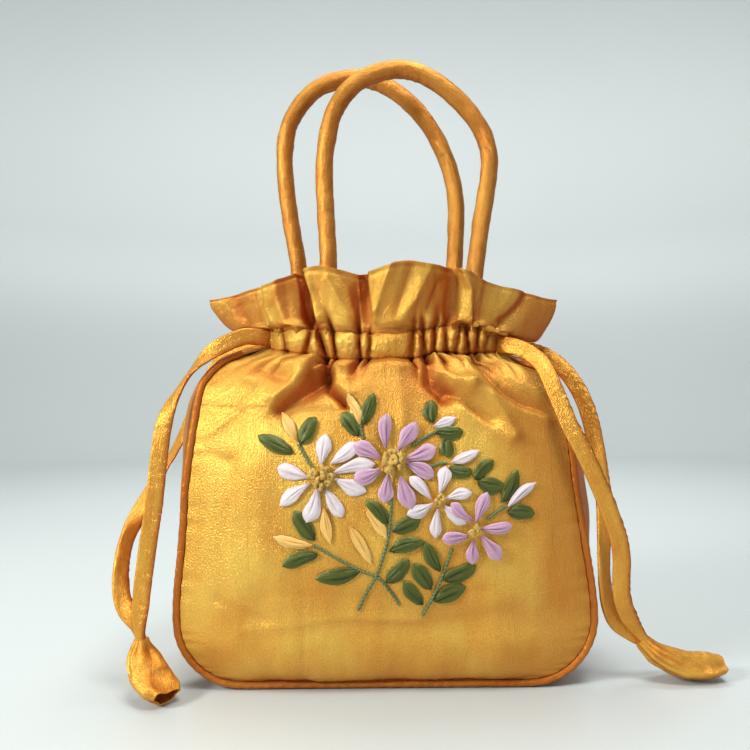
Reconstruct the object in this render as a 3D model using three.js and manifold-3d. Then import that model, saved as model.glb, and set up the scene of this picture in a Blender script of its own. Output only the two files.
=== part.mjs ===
// A small standing handbag of shot gold satin: a gathered pouch on a flat bottom, closed by
// drawstrings that run in a channel under a flared ruffle, with two tube handles and a spray
// of ribbon-embroidered daisies on the front. Millimetres, +Z up, the front faces -Y, and the
// origin is on the resting surface under the middle of the bag.
import * as THREE from "three";
import { mergeVertices } from "three/addons/utils/BufferGeometryUtils.js";
import Module from "manifold-3d";

const wasm = await Module();
wasm.setup();

// Driving sizes: the body
const bagWidth = 220;
const baseDepth = 70;
const cornerRadius = 36;
const neckHeight = 172;
const neckWidth = 132;
const neckDepth = 52;
const clothWall = 1.4;
const pipingDiameter = 4;
const gap = 0.3;

// Driving sizes: the channel, the ruffle and the handles
const channelHeight = 14;
const channelWall = 2.6;
const channelSwell = 1.6;
const gatherDepth = 3;
const ruffleRise = 32;
const ruffleWidth = 196;
const ruffleDepth = 66;
const ruffleFold = 6;
const handleDiameter = 9.8;
const handleRise = 151;
const handlesApart = 24;
const handleLean = 0.5;

// Driving sizes: the embroidery and the drawstrings
const sprayWidth = 141;
const petalWidthLarge = 7.2;
const petalWidthSmall = 6;
const leafWidth = 6.2;
const budWidth = 4.2;
const stemWidth = 1.6;
const ribbonHeight = 1.5;
const knotHeight = 2.6;
const knotRadiusLarge = 6.4;
const knotRadiusSmall = 3.6;
const stringWidth = 9;
const stringThickness = 2.4;
const stringEndWidth = 20;
const stringEndThickness = 13;

// Sizes that follow from them
const pipingRadius = pipingDiameter / 2;
const seamInset = pipingRadius + 2 * gap;
const halfWidth = bagWidth / 2 - pipingRadius;
const seamCorner = cornerRadius - pipingRadius;
const seamHeight = pipingRadius + gap;
const cornerTop = seamHeight + seamCorner;
const halfBase = baseDepth / 2;
const neckHalf = neckWidth / 2;
const channelTop = neckHeight + channelHeight;
const handleRadius = handleDiameter / 2;

// The side seams from the round bottom corners to the neck, the same in front and behind.
// mid: height of the row at the middle of a panel, share of neckHeight; deep, belly and back:
// seam half depth, and how far the front and the back stand out from the seams, shares of half
// the base depth; round: how square the panel is across, 2 being a plain arc.
// leftZ, leftX, leftPuff and the same on the right: height of the row at that seam, share of
// neckHeight, its half width, share of halfWidth, and how far the gusset stands out there,
// share of half the base depth.
const sideRows = [
  {
    mid: 0.211, deep: 0.985, belly: 0.33, back: 0.44, round: 4,
    leftZ: 0.211, leftX: 1.0, leftPuff: 0.04, rightZ: 0.211, rightX: 1.0, rightPuff: 0.04,
  },
  {
    mid: 0.3, deep: 0.97, belly: 0.39, back: 0.52, round: 4,
    leftZ: 0.3, leftX: 0.996, leftPuff: 0.06, rightZ: 0.3, rightX: 0.99, rightPuff: 0.09,
  },
  {
    mid: 0.395, deep: 0.945, belly: 0.43, back: 0.57, round: 3.8,
    leftZ: 0.395, leftX: 0.982, leftPuff: 0.17, rightZ: 0.395, rightX: 0.97, rightPuff: 0.22,
  },
  {
    mid: 0.5, deep: 0.915, belly: 0.44, back: 0.58, round: 3.6,
    leftZ: 0.5, leftX: 0.97, leftPuff: 0.23, rightZ: 0.5, rightX: 0.948, rightPuff: 0.3,
  },
  {
    mid: 0.605, deep: 0.885, belly: 0.43, back: 0.54, round: 3.4,
    leftZ: 0.605, leftX: 0.962, leftPuff: 0.23, rightZ: 0.605, rightX: 0.925, rightPuff: 0.29,
  },
  {
    mid: 0.698, deep: 0.845, belly: 0.4, back: 0.48, round: 3.2,
    leftZ: 0.7, leftX: 0.945, leftPuff: 0.27, rightZ: 0.698, rightX: 0.912, rightPuff: 0.29,
  },
  {
    mid: 0.779, deep: 0.8, belly: 0.37, back: 0.42, round: 3,
    leftZ: 0.782, leftX: 0.928, leftPuff: 0.3, rightZ: 0.777, rightX: 0.897, rightPuff: 0.29,
  },
  {
    mid: 0.848, deep: 0.74, belly: 0.34, back: 0.38, round: 3,
    leftZ: 0.857, leftX: 0.912, leftPuff: 0.28, rightZ: 0.84, rightX: 0.872, rightPuff: 0.26,
  },
  {
    mid: 0.901, deep: 0.67, belly: 0.33, back: 0.36, round: 2.9,
    leftZ: 0.913, leftX: 0.895, leftPuff: 0.22, rightZ: 0.89, rightX: 0.845, rightPuff: 0.22,
  },
  {
    mid: 0.942, deep: 0.57, belly: 0.34, back: 0.36, round: 2.9,
    leftZ: 0.956, leftX: 0.855, leftPuff: 0.17, rightZ: 0.93, rightX: 0.815, rightPuff: 0.17,
  },
  {
    mid: 0.97, deep: 0.46, belly: 0.39, back: 0.4, round: 3,
    leftZ: 0.991, leftX: 0.8, leftPuff: 0.12, rightZ: 0.962, rightX: 0.775, rightPuff: 0.12,
  },
  {
    mid: 0.988, deep: 0.34, belly: 0.46, back: 0.47, round: 3.2,
    leftZ: 1.017, leftX: 0.715, leftPuff: 0.07, rightZ: 0.983, rightX: 0.705, rightPuff: 0.07,
  },
];
const neckSeamRise = { left: 6, right: 0.5 };
const neckSeamDepth = 8;
const neckRound = 3.4;

// Gathers of the front at the channel: where across the neck, how deep, how wide, and how far
// the valley leans sideways over the height of the channel. Shares of half the neck's width,
// apart from deep, a share of gatherDepth.
const frontGathers = [
  { at: -0.86, deep: 0.4, wide: 0.05, lean: 0.04 },
  { at: -0.68, deep: 0.7, wide: 0.06, lean: 0.08 },
  { at: -0.43, deep: 1.0, wide: 0.07, lean: -0.1 },
  { at: -0.3, deep: 0.6, wide: 0.05, lean: 0 },
  { at: -0.16, deep: 0.9, wide: 0.05, lean: 0 },
  { at: 0.02, deep: 0.5, wide: 0.05, lean: 0.04 },
  { at: 0.25, deep: 0.7, wide: 0.07, lean: 0.05 },
  { at: 0.44, deep: 1.0, wide: 0.05, lean: 0 },
  { at: 0.6, deep: 0.8, wide: 0.05, lean: 0.03 },
  { at: 0.74, deep: 1.0, wide: 0.05, lean: 0.04 },
  { at: 0.86, deep: 0.5, wide: 0.05, lean: 0.03 },
];
const backGathers = [
  { at: -0.84, deep: 0.6, wide: 0.07, lean: 0 },
  { at: -0.6, deep: 1.0, wide: 0.08, lean: 0.03 },
  { at: -0.34, deep: 0.7, wide: 0.08, lean: 0 },
  { at: -0.08, deep: 0.9, wide: 0.08, lean: -0.03 },
  { at: 0.18, deep: 0.7, wide: 0.08, lean: 0 },
  { at: 0.42, deep: 0.8, wide: 0.08, lean: 0.03 },
  { at: 0.7, deep: 1.0, wide: 0.08, lean: 0 },
  { at: 0.88, deep: 0.5, wide: 0.06, lean: 0 },
];
const gatherReach = 20;

// Folds of the front panel, each a ridge (high above 0) or a valley (high below 0) along a
// straight stretch. x: shares of halfWidth; z: shares of neckHeight; wide and high: shares of
// half the base depth.
const frontFolds = [
  { x0: -0.29, z0: 0.99, x1: -0.5, z1: 0.87, wide: 0.17, high: 0.09 },
  { x0: -0.28, z0: 0.95, x1: -0.48, z1: 0.83, wide: 0.15, high: -0.12 },
  { x0: -0.25, z0: 0.97, x1: -0.24, z1: 0.9, wide: 0.13, high: -0.08 },
  { x0: -0.24, z0: 0.9, x1: -0.17, z1: 0.85, wide: 0.12, high: -0.07 },
  { x0: 0.24, z0: 0.99, x1: 0.33, z1: 0.92, wide: 0.13, high: 0.08 },
  { x0: 0.33, z0: 0.92, x1: 0.5, z1: 0.87, wide: 0.13, high: 0.08 },
  { x0: 0.5, z0: 0.87, x1: 0.62, z1: 0.76, wide: 0.13, high: 0.07 },
  { x0: 0.26, z0: 0.88, x1: 0.43, z1: 0.81, wide: 0.12, high: 0.06 },
  { x0: 0.43, z0: 0.81, x1: 0.62, z1: 0.75, wide: 0.12, high: 0.06 },
  { x0: 0.3, z0: 0.89, x1: 0.48, z1: 0.83, wide: 0.1, high: -0.06 },
  { x0: 0.45, z0: 0.96, x1: 0.58, z1: 0.87, wide: 0.13, high: -0.09 },
  { x0: 0.58, z0: 0.87, x1: 0.8, z1: 0.81, wide: 0.13, high: -0.09 },
  { x0: -0.62, z0: 0.66, x1: -0.58, z1: 0.4, wide: 0.3, high: 0.05 },
  { x0: -0.42, z0: 0.36, x1: -0.4, z1: 0.1, wide: 0.2, high: 0.04 },
  { x0: -0.3, z0: 0.22, x1: 0.6, z1: 0.24, wide: 0.22, high: -0.04 },
];

// The ruffle's top edge, front and back, from the left tail to the right one. at: place across;
// up: height above the channel, share of ruffleRise; out: how far the fold stands forward,
// share of ruffleFold.
const frontRuffle = [
  { at: -0.89, up: 0.74, out: 0 },
  { at: -0.8, up: 0.81, out: 0.25 },
  { at: -0.75, up: 0.77, out: 0.05 },
  { at: -0.69, up: 0.84, out: 0.3 },
  { at: -0.62, up: 0.97, out: 0.3 },
  { at: -0.56, up: 1.02, out: -1 },
  { at: -0.5, up: 1.04, out: 0.5 },
  { at: -0.42, up: 1.01, out: 0.6 },
  { at: -0.3, up: 0.93, out: 0.15 },
  { at: -0.2, up: 0.86, out: -0.1 },
  { at: -0.13, up: 0.89, out: -0.8 },
  { at: -0.06, up: 0.9, out: 0.3 },
  { at: 0.1, up: 1.02, out: 1 },
  { at: 0.28, up: 1.02, out: 0.8 },
  { at: 0.43, up: 1.03, out: 0.3 },
  { at: 0.52, up: 1.04, out: -0.8 },
  { at: 0.61, up: 1.01, out: 0.9 },
  { at: 0.72, up: 0.8, out: 0.4 },
  { at: 0.87, up: 0.77, out: 0.1 },
];
const backRuffle = [
  { at: -0.88, up: 0.8, out: 0.1 },
  { at: -0.74, up: 0.84, out: -0.3 },
  { at: -0.6, up: 0.98, out: 0.7 },
  { at: -0.42, up: 1.0, out: -0.7 },
  { at: -0.24, up: 0.95, out: 0.6 },
  { at: -0.05, up: 0.92, out: -0.7 },
  { at: 0.14, up: 0.97, out: 0.7 },
  { at: 0.34, up: 1.0, out: -0.6 },
  { at: 0.55, up: 1.0, out: 0.8 },
  { at: 0.73, up: 0.9, out: -0.2 },
  { at: 0.88, up: 0.82, out: 0.1 },
];

// The ruffle's two tails, from the channel up. up: place from the channel to the top edge;
// flare: share of the way from the neck's width to the ruffle's; left and right: height of
// each tail's edge above the channel, shares of ruffleRise.
const tailRows = [
  { up: 0, flare: 0, left: 0.045, right: 0.045 },
  { up: 0.1, flare: 0.36, left: 0.04, right: -0.12 },
  { up: 0.25, flare: 0.62, left: 0.09, right: -0.17 },
  { up: 0.5, flare: 0.82, left: 0.28, right: 0.08 },
  { up: 0.75, flare: 0.95, left: 0.46, right: 0.34 },
  { up: 1, flare: 1, left: 0.61, right: 0.56 },
];

// The handles' middle lines, foot to foot. x: shares of half the neck's width; up: height above
// the channel, shares of handleRise.
const frontHandle = [
  { x: -0.48, up: -0.053 },
  { x: -0.46, up: 0.09 },
  { x: -0.445, up: 0.23 },
  { x: -0.48, up: 0.545 },
  { x: -0.47, up: 0.66 },
  { x: -0.365, up: 0.84 },
  { x: -0.158, up: 0.918 },
  { x: 0.158, up: 0.958 },
  { x: 0.464, up: 0.904 },
  { x: 0.71, up: 0.803 },
  { x: 0.87, up: 0.7 },
  { x: 0.9, up: 0.61 },
  { x: 0.836, up: 0.44 },
  { x: 0.76, up: 0.223 },
  { x: 0.74, up: 0.09 },
  { x: 0.73, up: -0.053 },
];
const backHandle = [
  { x: -0.7, up: -0.053 },
  { x: -0.71, up: 0.09 },
  { x: -0.74, up: 0.26 },
  { x: -0.83, up: 0.5 },
  { x: -0.86, up: 0.73 },
  { x: -0.77, up: 0.864 },
  { x: -0.567, up: 0.955 },
  { x: -0.277, up: 0.993 },
  { x: 0.005, up: 0.969 },
  { x: 0.31, up: 0.864 },
  { x: 0.53, up: 0.71 },
  { x: 0.644, up: 0.52 },
  { x: 0.62, up: 0.27 },
  { x: 0.61, up: 0.09 },
  { x: 0.6, up: -0.053 },
];

// The embroidery is charted on a grid that is chartSteps squares wide over the spray's width,
// x to the right and z up from the spray's middle.
const chartSteps = 282;
const sprayMiddle = { x: 0.059, z: 0.556 };
const flowers = [
  {
    name: "white_large",
    colour: "white",
    width: petalWidthLarge,
    hub: knotRadiusLarge,
    x: -75,
    z: 29,
    tips: [[3, 43], [27, 28], [40, 13], [44, -16], [20, -40], [-12, -39], [-40, -29], [-44, 10]],
  },
  {
    name: "lilac_large",
    colour: "lilac",
    width: petalWidthLarge,
    hub: knotRadiusLarge,
    x: -4,
    z: 43,
    tips: [[-7, 48], [23, 40], [38, 12], [40, -16], [15, -38], [-7, -38], [-36, -17], [-34, 17]],
  },
  {
    name: "white_small",
    colour: "white",
    width: petalWidthSmall,
    hub: knotRadiusSmall,
    x: 42,
    z: 6,
    tips: [[6, 33], [33, 7], [13, -15], [-4, -36], [-27, -13], [-22, 15]],
  },
  {
    name: "lilac_small",
    colour: "lilac",
    width: petalWidthSmall,
    hub: knotRadiusSmall,
    x: 77,
    z: -24,
    tips: [[11, 33], [35, 3], [23, -31], [-3, -34], [-30, -10], [-17, 19]],
  },
];

// Greenery: stems as charted points, leaves as [root x, root z, tip x, tip z].
const greenery = [
  { name: "loose_leaf", stems: [], leaves: [[-104, 53, -141, 70]] },
  { name: "sprig_1", stems: [[[-88, 45], [-98, 60]]], leaves: [[-98, 60, -82, 89]] },
  {
    name: "sprig_2",
    stems: [[[-34, 68], [-35, 80]]],
    leaves: [[-35, 72, -56, 91], [-35, 78, -23, 113]],
  },
  {
    name: "sprig_3",
    stems: [[[20, 61], [38, 72]]],
    leaves: [[38, 72, 35, 105], [38, 72, 68, 71], [38, 72, 50, 47]],
  },
  { name: "sprig_4", stems: [[[33, 43], [51, 44]]], leaves: [[50, 44, 74, 32]] },
  { name: "sprig_5", stems: [], leaves: [[79, 23, 97, 45], [79, 23, 108, 17]] },
  {
    name: "sprig_6",
    stems: [[[92, -12], [108, -3]]],
    leaves: [[107, -3, 124, 33], [108, -3, 139, -12]],
  },
  {
    name: "branch_left",
    stems: [
      [[-6, -3], [-8, -25], [-21, -68], [-40, -104]],
      [[-83, -37], [-57, -53], [-36, -64], [-19, -71], [2, -99]],
    ],
    leaves: [
      [-83, -37, -108, -8],
      [-72, -44, -114, -59],
      [-36, -64, -82, -70],
      [-8, -20, -28, 6],
      [-8, -26, 22, -18],
      [-14, -46, 21, -36],
      [-15, -77, 11, -52],
    ],
  },
  {
    name: "branch_right",
    stems: [[[53, -46], [42, -76], [24, -110]]],
    leaves: [
      [38, -84, 17, -56],
      [45, -68, 32, -40],
      [43, -74, 78, -59],
      [30, -99, 5, -75],
      [32, -94, 68, -81],
    ],
  },
];
const buds = [
  { name: "yellow_1", colour: "yellow", ends: [-103, 69, -117, 94] },
  { name: "yellow_2", colour: "yellow", ends: [-38, 88, -48, 114] },
  { name: "yellow_3", colour: "yellow", ends: [-93, -36, -124, -30] },
  { name: "yellow_4", colour: "yellow", ends: [-73, -1, -65, -37] },
  { name: "yellow_5", colour: "yellow", ends: [-48, -19, -26, -57] },
  { name: "yellow_6", colour: "yellow", ends: [-35, -2, -15, -35] },
  { name: "white_1", colour: "white", ends: [45, 82, 64, 91] },
  { name: "white_2", colour: "white", ends: [61, 49, 86, 58] },
  { name: "white_3", colour: "white", ends: [121, 5, 142, 22] },
];

// A ribbon stitch from root to tip: half width and crown height along it, as shares.
const petalRows = [
  { along: 0.1, wide: 0.38, high: 0.8 },
  { along: 0.5, wide: 0.86, high: 0.95 },
  { along: 0.8, wide: 1.0, high: 1.0 },
  { along: 1.0, wide: 0.34, high: 0.55 },
];
const leafRows = [
  { along: 0.0, wide: 0.28, high: 0.7 },
  { along: 0.35, wide: 0.95, high: 1.0 },
  { along: 0.7, wide: 0.85, high: 0.95 },
  { along: 1.0, wide: 0.14, high: 0.5 },
];

// The drawstrings' routes, from the channel's open end to the knot, and the knotted ends.
const stringRoutes = {
  left_front: [
    [-62.8, -11.4, 182.7], [-68, -15, 183.4], [-75, -17.5, 183.4], [-84, -19, 180],
    [-93, -20.5, 174.4], [-103, -23, 163.5], [-110.2, -26.5, 150.7], [-114.6, -30, 138],
    [-117, -33, 117.5], [-118.4, -36, 97.1], [-121, -39, 74.6], [-123.1, -42, 52.1],
    [-123.6, -44, 38], [-123.2, -44.4, 27.8],
  ],
  left_back: [
    [-62.6, 11.3, 182.6], [-70, 15.6, 182.9], [-80, 18.5, 182.5], [-90, 22, 178], [-100, 26, 169.5],
    [-109, 28.5, 156], [-116.5, 28, 139], [-124, 20, 120], [-130, 8, 105.5], [-135, -5, 90.5],
    [-138.6, -17, 77], [-138.6, -27, 64.3], [-136.6, -34, 51.5], [-132.4, -38.4, 42],
    [-126.4, -40.6, 34.3], [-123.6, -41.2, 27.9],
  ],
  right_front: [
    [62.4, -11.2, 178.2], [67, -14.8, 177.9], [74, -18.5, 175.6], [80, -22, 171.5],
    [84.6, -28, 165], [88.5, -34, 153.5], [94.5, -39.5, 136], [101.6, -42, 120.9],
    [109.2, -43, 103.3], [115, -43, 88], [118.6, -42, 77.3], [120.6, -40, 67],
    [121, -38, 56.4], [122, -36, 45.7], [126.6, -33, 34.5], [133, -30.4, 25.2],
    [136.4, -29.6, 21.4],
  ],
  right_back: [
    [61.9, 10.8, 178.2], [70, 14.5, 178.6], [82, 14, 177.5], [93, 8, 173], [102, 0, 164],
    [108.6, -8, 151], [112, -14.5, 137], [113.6, -19.5, 122], [115, -23, 107],
    [115.8, -26.5, 92], [115, -29, 79], [114.2, -31, 65.4], [114.6, -31, 52.4],
    [116.4, -30.2, 41], [121, -28.6, 31], [128.6, -27, 23.6], [133.6, -26.2, 20.6],
  ],
};
const stringSteps = 15;
const stringEnds = {
  left: [[-123.3, -42.8, 26.4], [-122.6, -43.4, 20], [-116, -49, 10.6], [-106.4, -57, 4.6]],
  right: [[135.5, -27.9, 19.6], [143, -27.6, 13], [158, -27, 6.9], [177, -26, 6.5]],
};
const stringEndRows = [
  { along: 0.0, wide: 0.5, thick: 0.52 },
  { along: 0.12, wide: 0.62, thick: 0.82 },
  { along: 0.26, wide: 0.44, thick: 0.6 },
  { along: 0.5, wide: 0.92, thick: 0.98 },
  { along: 0.78, wide: 1.0, thick: 1.0 },
  { along: 1.0, wide: 0.72, thick: 0.6 },
];

const satin = {
  gold: { color: 0xe0a238, roughness: 0.38, metalness: 0 },
  piping: { color: 0xcf7a2e, roughness: 0.42, metalness: 0 },
  white: { color: 0xf3e6ea, roughness: 0.45, metalness: 0 },
  lilac: { color: 0xc39cc6, roughness: 0.45, metalness: 0 },
  green: { color: 0x4a6b2a, roughness: 0.5, metalness: 0 },
  yellow: { color: 0xf0c060, roughness: 0.5, metalness: 0 },
};

const model = new THREE.Group();

function addPiece(name, geometry, finish) {
  const mesh = new THREE.Mesh(geometry, new THREE.MeshStandardMaterial(satin[finish]));
  mesh.name = name;
  model.add(mesh);
  return mesh;
}

// A value of a table's column at a place between its rows, on a smooth curve.
function readTable(rows, key, column, at) {
  const last = rows.length - 1;
  if (at <= rows[0][key]) return rows[0][column];
  if (at >= rows[last][key]) return rows[last][column];
  let i = 0;
  while (rows[i + 1][key] < at) i += 1;
  const slope = (j) => {
    const a = rows[Math.max(j - 1, 0)];
    const b = rows[Math.min(j + 1, last)];
    return (b[column] - a[column]) / (b[key] - a[key]);
  };
  const step = rows[i + 1][key] - rows[i][key];
  const t = (at - rows[i][key]) / step;
  const start = (1 + 2 * t) * (1 - t) ** 2 * rows[i][column] + t * (1 - t) ** 2 * step * slope(i);
  const end = t * t * (3 - 2 * t) * rows[i + 1][column] - t * t * (1 - t) * step * slope(i + 1);
  return start + end;
}

// The rows of one side's seam in millimetres, from the foot of the round corner to the neck.
const cornerSteps = 5;

function seamRows(side) {
  const rows = [];
  const first = sideRows[0];
  for (let i = 0; i < cornerSteps; i += 1) {
    const turn = (i / cornerSteps) * (Math.PI / 2);
    const z = seamHeight + seamCorner * (1 - Math.cos(turn));
    rows.push({
      x: halfWidth - seamCorner + seamCorner * Math.sin(turn),
      z,
      mid: z,
      deep: halfBase,
      belly: halfBase * first.belly * Math.sin(turn),
      back: halfBase * first.back * Math.sin(turn),
      puff: seamHeight - clothWall / 2,
      isFlat: true,
      round: first.round,
    });
  }
  for (const row of sideRows) {
    const atCorner = row === first;
    rows.push({
      x: halfWidth * row[side + "X"],
      z: atCorner ? cornerTop : neckHeight * row[side + "Z"],
      mid: atCorner ? cornerTop : neckHeight * row.mid,
      deep: halfBase * row.deep,
      belly: halfBase * row.belly,
      back: halfBase * row.back,
      puff: halfBase * row[side + "Puff"],
      isFlat: false,
      round: row.round,
    });
  }
  rows.push({
    x: neckHalf,
    z: neckHeight + neckSeamRise[side],
    mid: neckHeight,
    deep: neckSeamDepth,
    belly: neckDepth / 2 - neckSeamDepth,
    back: neckDepth / 2 - neckSeamDepth,
    puff: 0,
    isFlat: false,
    round: neckRound,
  });
  rows.forEach((row, i) => {
    const before = rows[Math.max(i - 1, 0)];
    const after = rows[Math.min(i + 1, rows.length - 1)];
    const along = i === 0 ? [1, 0] : [after.x - before.x, after.z - before.z];
    const length = Math.hypot(along[0], along[1]);
    row.inX = -along[1] / length;
    row.inZ = along[0] / length;
  });
  return rows;
}

const seams = { left: seamRows("left"), right: seamRows("right") };
const seamCount = seams.left.length;
const sideOf = (across) => (across < 0 ? "left" : "right");

// How far a panel's gathers pull its cloth in at a place across and a height.
function gathersAt(gathers, across, z) {
  const over = (z - neckHeight) / channelHeight;
  let pull = 0;
  for (const gather of gathers) {
    const off = (across - gather.at - gather.lean * (0.5 - over)) / gather.wide;
    pull += gather.deep * Math.exp(-off * off);
  }
  const below = Math.min(z - neckHeight, 0) / gatherReach;
  const above = Math.max(z - channelTop, 0) / gatherReach;
  return gatherDepth * pull * Math.exp(-below * below * 2 - above * above * 4);
}

// Height of the front panel's folds over its plain shape.
function foldsAt(x, z) {
  let height = 0;
  for (const fold of frontFolds) {
    const ax = fold.x0 * halfWidth;
    const az = fold.z0 * neckHeight;
    const dx = fold.x1 * halfWidth - ax;
    const dz = fold.z1 * neckHeight - az;
    const share = ((x - ax) * dx + (z - az) * dz) / (dx * dx + dz * dz);
    const t = Math.min(Math.max(share, 0), 1);
    const away = Math.hypot(x - ax - t * dx, z - az - t * dz) / (fold.wide * halfBase);
    height += fold.high * halfBase * Math.exp(-away * away);
  }
  return height;
}

// A point of the front or back panel's outer face, from a row of the seam on that side, across
// from -1 at the left edge to 1 at the right one.
const liftPower = 3;

function panelPoint(row, across, isFront) {
  const inset = row.mid < neckHeight ? seamInset : 0;
  const edgeX = row.x + row.inX * inset;
  const edgeZ = row.z + row.inZ * inset;
  const middle = row.mid + Math.max(row.inZ, 0) * inset;
  const x = across * edgeX;
  const z = middle + (edgeZ - middle) * Math.abs(across) ** liftPower;
  const swell = (isFront ? row.belly : row.back) * (1 - Math.abs(across) ** row.round);
  const edgeFade = 1 - Math.abs(across) ** 6;
  const folds = isFront ? foldsAt(x, z) : 0;
  const pull = gathersAt(isFront ? frontGathers : backGathers, across, row.mid);
  const depth = row.deep + clothWall / 2 + swell + (folds - pull) * edgeFade;
  return new THREE.Vector3(x, isFront ? -depth : depth, z);
}

// A point over the front panel at a charted place, lifted off the cloth.
const ray = new THREE.Raycaster();
const slopeReach = 1.5;

function onPanel(x, z, lift) {
  const clothAt = (px, pz) => {
    ray.set(new THREE.Vector3(px, -bagWidth, pz), new THREE.Vector3(0, 1, 0));
    return ray.intersectObject(frontPanel)[0].point.y;
  };
  const slopeX = (clothAt(x + slopeReach, z) - clothAt(x - slopeReach, z)) / (2 * slopeReach);
  const slopeZ = (clothAt(x, z + slopeReach) - clothAt(x, z - slopeReach)) / (2 * slopeReach);
  const out = new THREE.Vector3(slopeX, -1, slopeZ).normalize();
  return new THREE.Vector3(x, clothAt(x, z), z).addScaledVector(out, lift);
}

// Grids of points are lists of rows; across a row, then up the rows, turns about the outward
// direction. The inner grid lies one wall behind the outer one.
function insideOf(outer, wall, isRing) {
  const rows = outer.length;
  const columns = outer[0].length;
  return outer.map((row, r) =>
    row.map((point, c) => {
      const left = isRing ? (c + columns - 1) % columns : Math.max(c - 1, 0);
      const right = isRing ? (c + 1) % columns : Math.min(c + 1, columns - 1);
      const low = outer[Math.max(r - 1, 0)][c];
      const high = outer[Math.min(r + 1, rows - 1)][c];
      const across = row[right].clone().sub(row[left]);
      const out = across.cross(high.clone().sub(low)).normalize();
      return point.clone().addScaledVector(out, -wall);
    }),
  );
}

// A closed wall between an outer and an inner grid, with its rims.
function wallBetween(outer, inner, isRing) {
  const rows = outer.length;
  const columns = outer[0].length;
  const positions = [...outer.flat(), ...inner.flat()].flatMap((p) => [p.x, p.y, p.z]);
  const index = [];
  const at = (side, r, c) => side * rows * columns + r * columns + (c % columns);
  const quad = (a, b, c, d) => index.push(a, b, c, a, c, d);
  const spans = isRing ? columns : columns - 1;
  for (let c = 0; c < spans; c += 1) {
    for (let r = 0; r < rows - 1; r += 1) {
      quad(at(0, r, c), at(0, r, c + 1), at(0, r + 1, c + 1), at(0, r + 1, c));
      quad(at(1, r, c), at(1, r + 1, c), at(1, r + 1, c + 1), at(1, r, c + 1));
    }
    quad(at(1, 0, c), at(1, 0, c + 1), at(0, 0, c + 1), at(0, 0, c));
    const top = rows - 1;
    quad(at(0, top, c), at(0, top, c + 1), at(1, top, c + 1), at(1, top, c));
  }
  for (let r = 0; r < rows - 1 && !isRing; r += 1) {
    const end = columns - 1;
    quad(at(1, r, 0), at(0, r, 0), at(0, r + 1, 0), at(1, r + 1, 0));
    quad(at(1, r, end), at(1, r + 1, end), at(0, r + 1, end), at(0, r, end));
  }
  return closedGeometry(positions, index);
}

function closedGeometry(positions, index) {
  const geometry = new THREE.BufferGeometry();
  geometry.setAttribute("position", new THREE.Float32BufferAttribute(positions, 3));
  geometry.setIndex(index);
  return geometry;
}

function clothWallFrom(outer, wall, isRing = false) {
  return wallBetween(outer, insideOf(outer, wall, isRing), isRing);
}

// Places across a gathered piece: each valley, the ridge between it and the next, the ends.
function gatheredPlaces(gathers, end) {
  const places = [-end];
  gathers.forEach((gather, i) => {
    if (i > 0) places.push((gathers[i - 1].at + gather.at) / 2);
    places.push(gather.at);
  });
  places.push(end);
  return places;
}

function panelGrid(numbers, places, isFront) {
  const point = (i, across) => panelPoint(seams[sideOf(across)][i], across, isFront);
  return numbers.map((i) => places.map((across) => point(i, across)));
}

function buildFrontPanel() {
  const numbers = seams.left.map((row, i) => i);
  const outer = panelGrid(numbers, gatheredPlaces(frontGathers, 1), true);
  return addPiece("front_panel", clothWallFrom(outer, clothWall), "gold");
}

function buildBackPanel() {
  const numbers = seams.left.map((row, i) => i).filter((i) => i % 2 === 0 || i > cornerSteps + 6);
  const outer = panelGrid(numbers, gatheredPlaces(backGathers, 1).reverse(), false);
  addPiece("back_panel", clothWallFrom(outer, clothWall), "gold");
}

// The gusset runs from the left neck down, along the bottom and up the right side.
const gussetPlaces = [0, 0.1, 0.3, 0.5, 0.7, 0.9, 1];
const bottomRows = 6;

function gussetRow(row, side) {
  const half = Math.max(row.deep - seamInset, neckSeamDepth / 2);
  return gussetPlaces.map((t) => {
    const hump = Math.sin(Math.PI * t);
    const swell = row.isFlat && hump > 0.1 ? 1 : hump;
    const out = row.puff * swell + clothWall / 2;
    const y = (2 * t - 1) * half;
    return new THREE.Vector3(side * (row.x - row.inX * out), y, row.z - row.inZ * out);
  });
}

function buildGusset() {
  const left = [...seams.left].reverse().map((row) => gussetRow(row, -1));
  const right = seams.right.map((row) => gussetRow(row, 1));
  const start = left[left.length - 1];
  const end = right[0];
  const bottom = [];
  for (let i = 1; i < bottomRows; i += 1) {
    bottom.push(start.map((point, c) => point.clone().lerp(end[c], i / bottomRows)));
  }
  addPiece("gusset", clothWallFrom([...left, ...bottom, ...right], clothWall), "gold");
}

// The piping follows the seam between a panel and the gusset, and ends under the gathers.
function buildPiping(name, sign) {
  const point = (row, at) => new THREE.Vector3(at * row.x, sign * row.deep, row.z);
  const right = seams.right.slice(0, -1).map((row) => point(row, 1));
  const left = seams.left.slice(0, -1).map((row) => point(row, -1)).reverse();
  const bottom = [];
  for (let i = 1; i < bottomRows; i += 1) {
    bottom.push(left[left.length - 1].clone().lerp(right[0], i / bottomRows));
  }
  const path = new THREE.CatmullRomCurve3([...left, ...bottom, ...right]);
  const steps = 2 * seamCount + bottomRows;
  addPiece(name, sweep(roundSection(pipingRadius, 6), path, steps), "piping");
}

function roundSection(radius, sides) {
  const shape = new THREE.Shape();
  for (let i = 0; i < sides; i += 1) {
    const turn = (i / sides) * 2 * Math.PI;
    const x = radius * Math.cos(turn);
    const y = radius * Math.sin(turn);
    if (i === 0) shape.moveTo(x, y);
    else shape.lineTo(x, y);
  }
  shape.closePath();
  return shape;
}

function sweep(section, path, steps) {
  const geometry = new THREE.ExtrudeGeometry(section, { steps, extrudePath: path });
  geometry.deleteAttribute("normal");
  geometry.deleteAttribute("uv");
  return mergeVertices(geometry, 1e-4);
}

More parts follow.
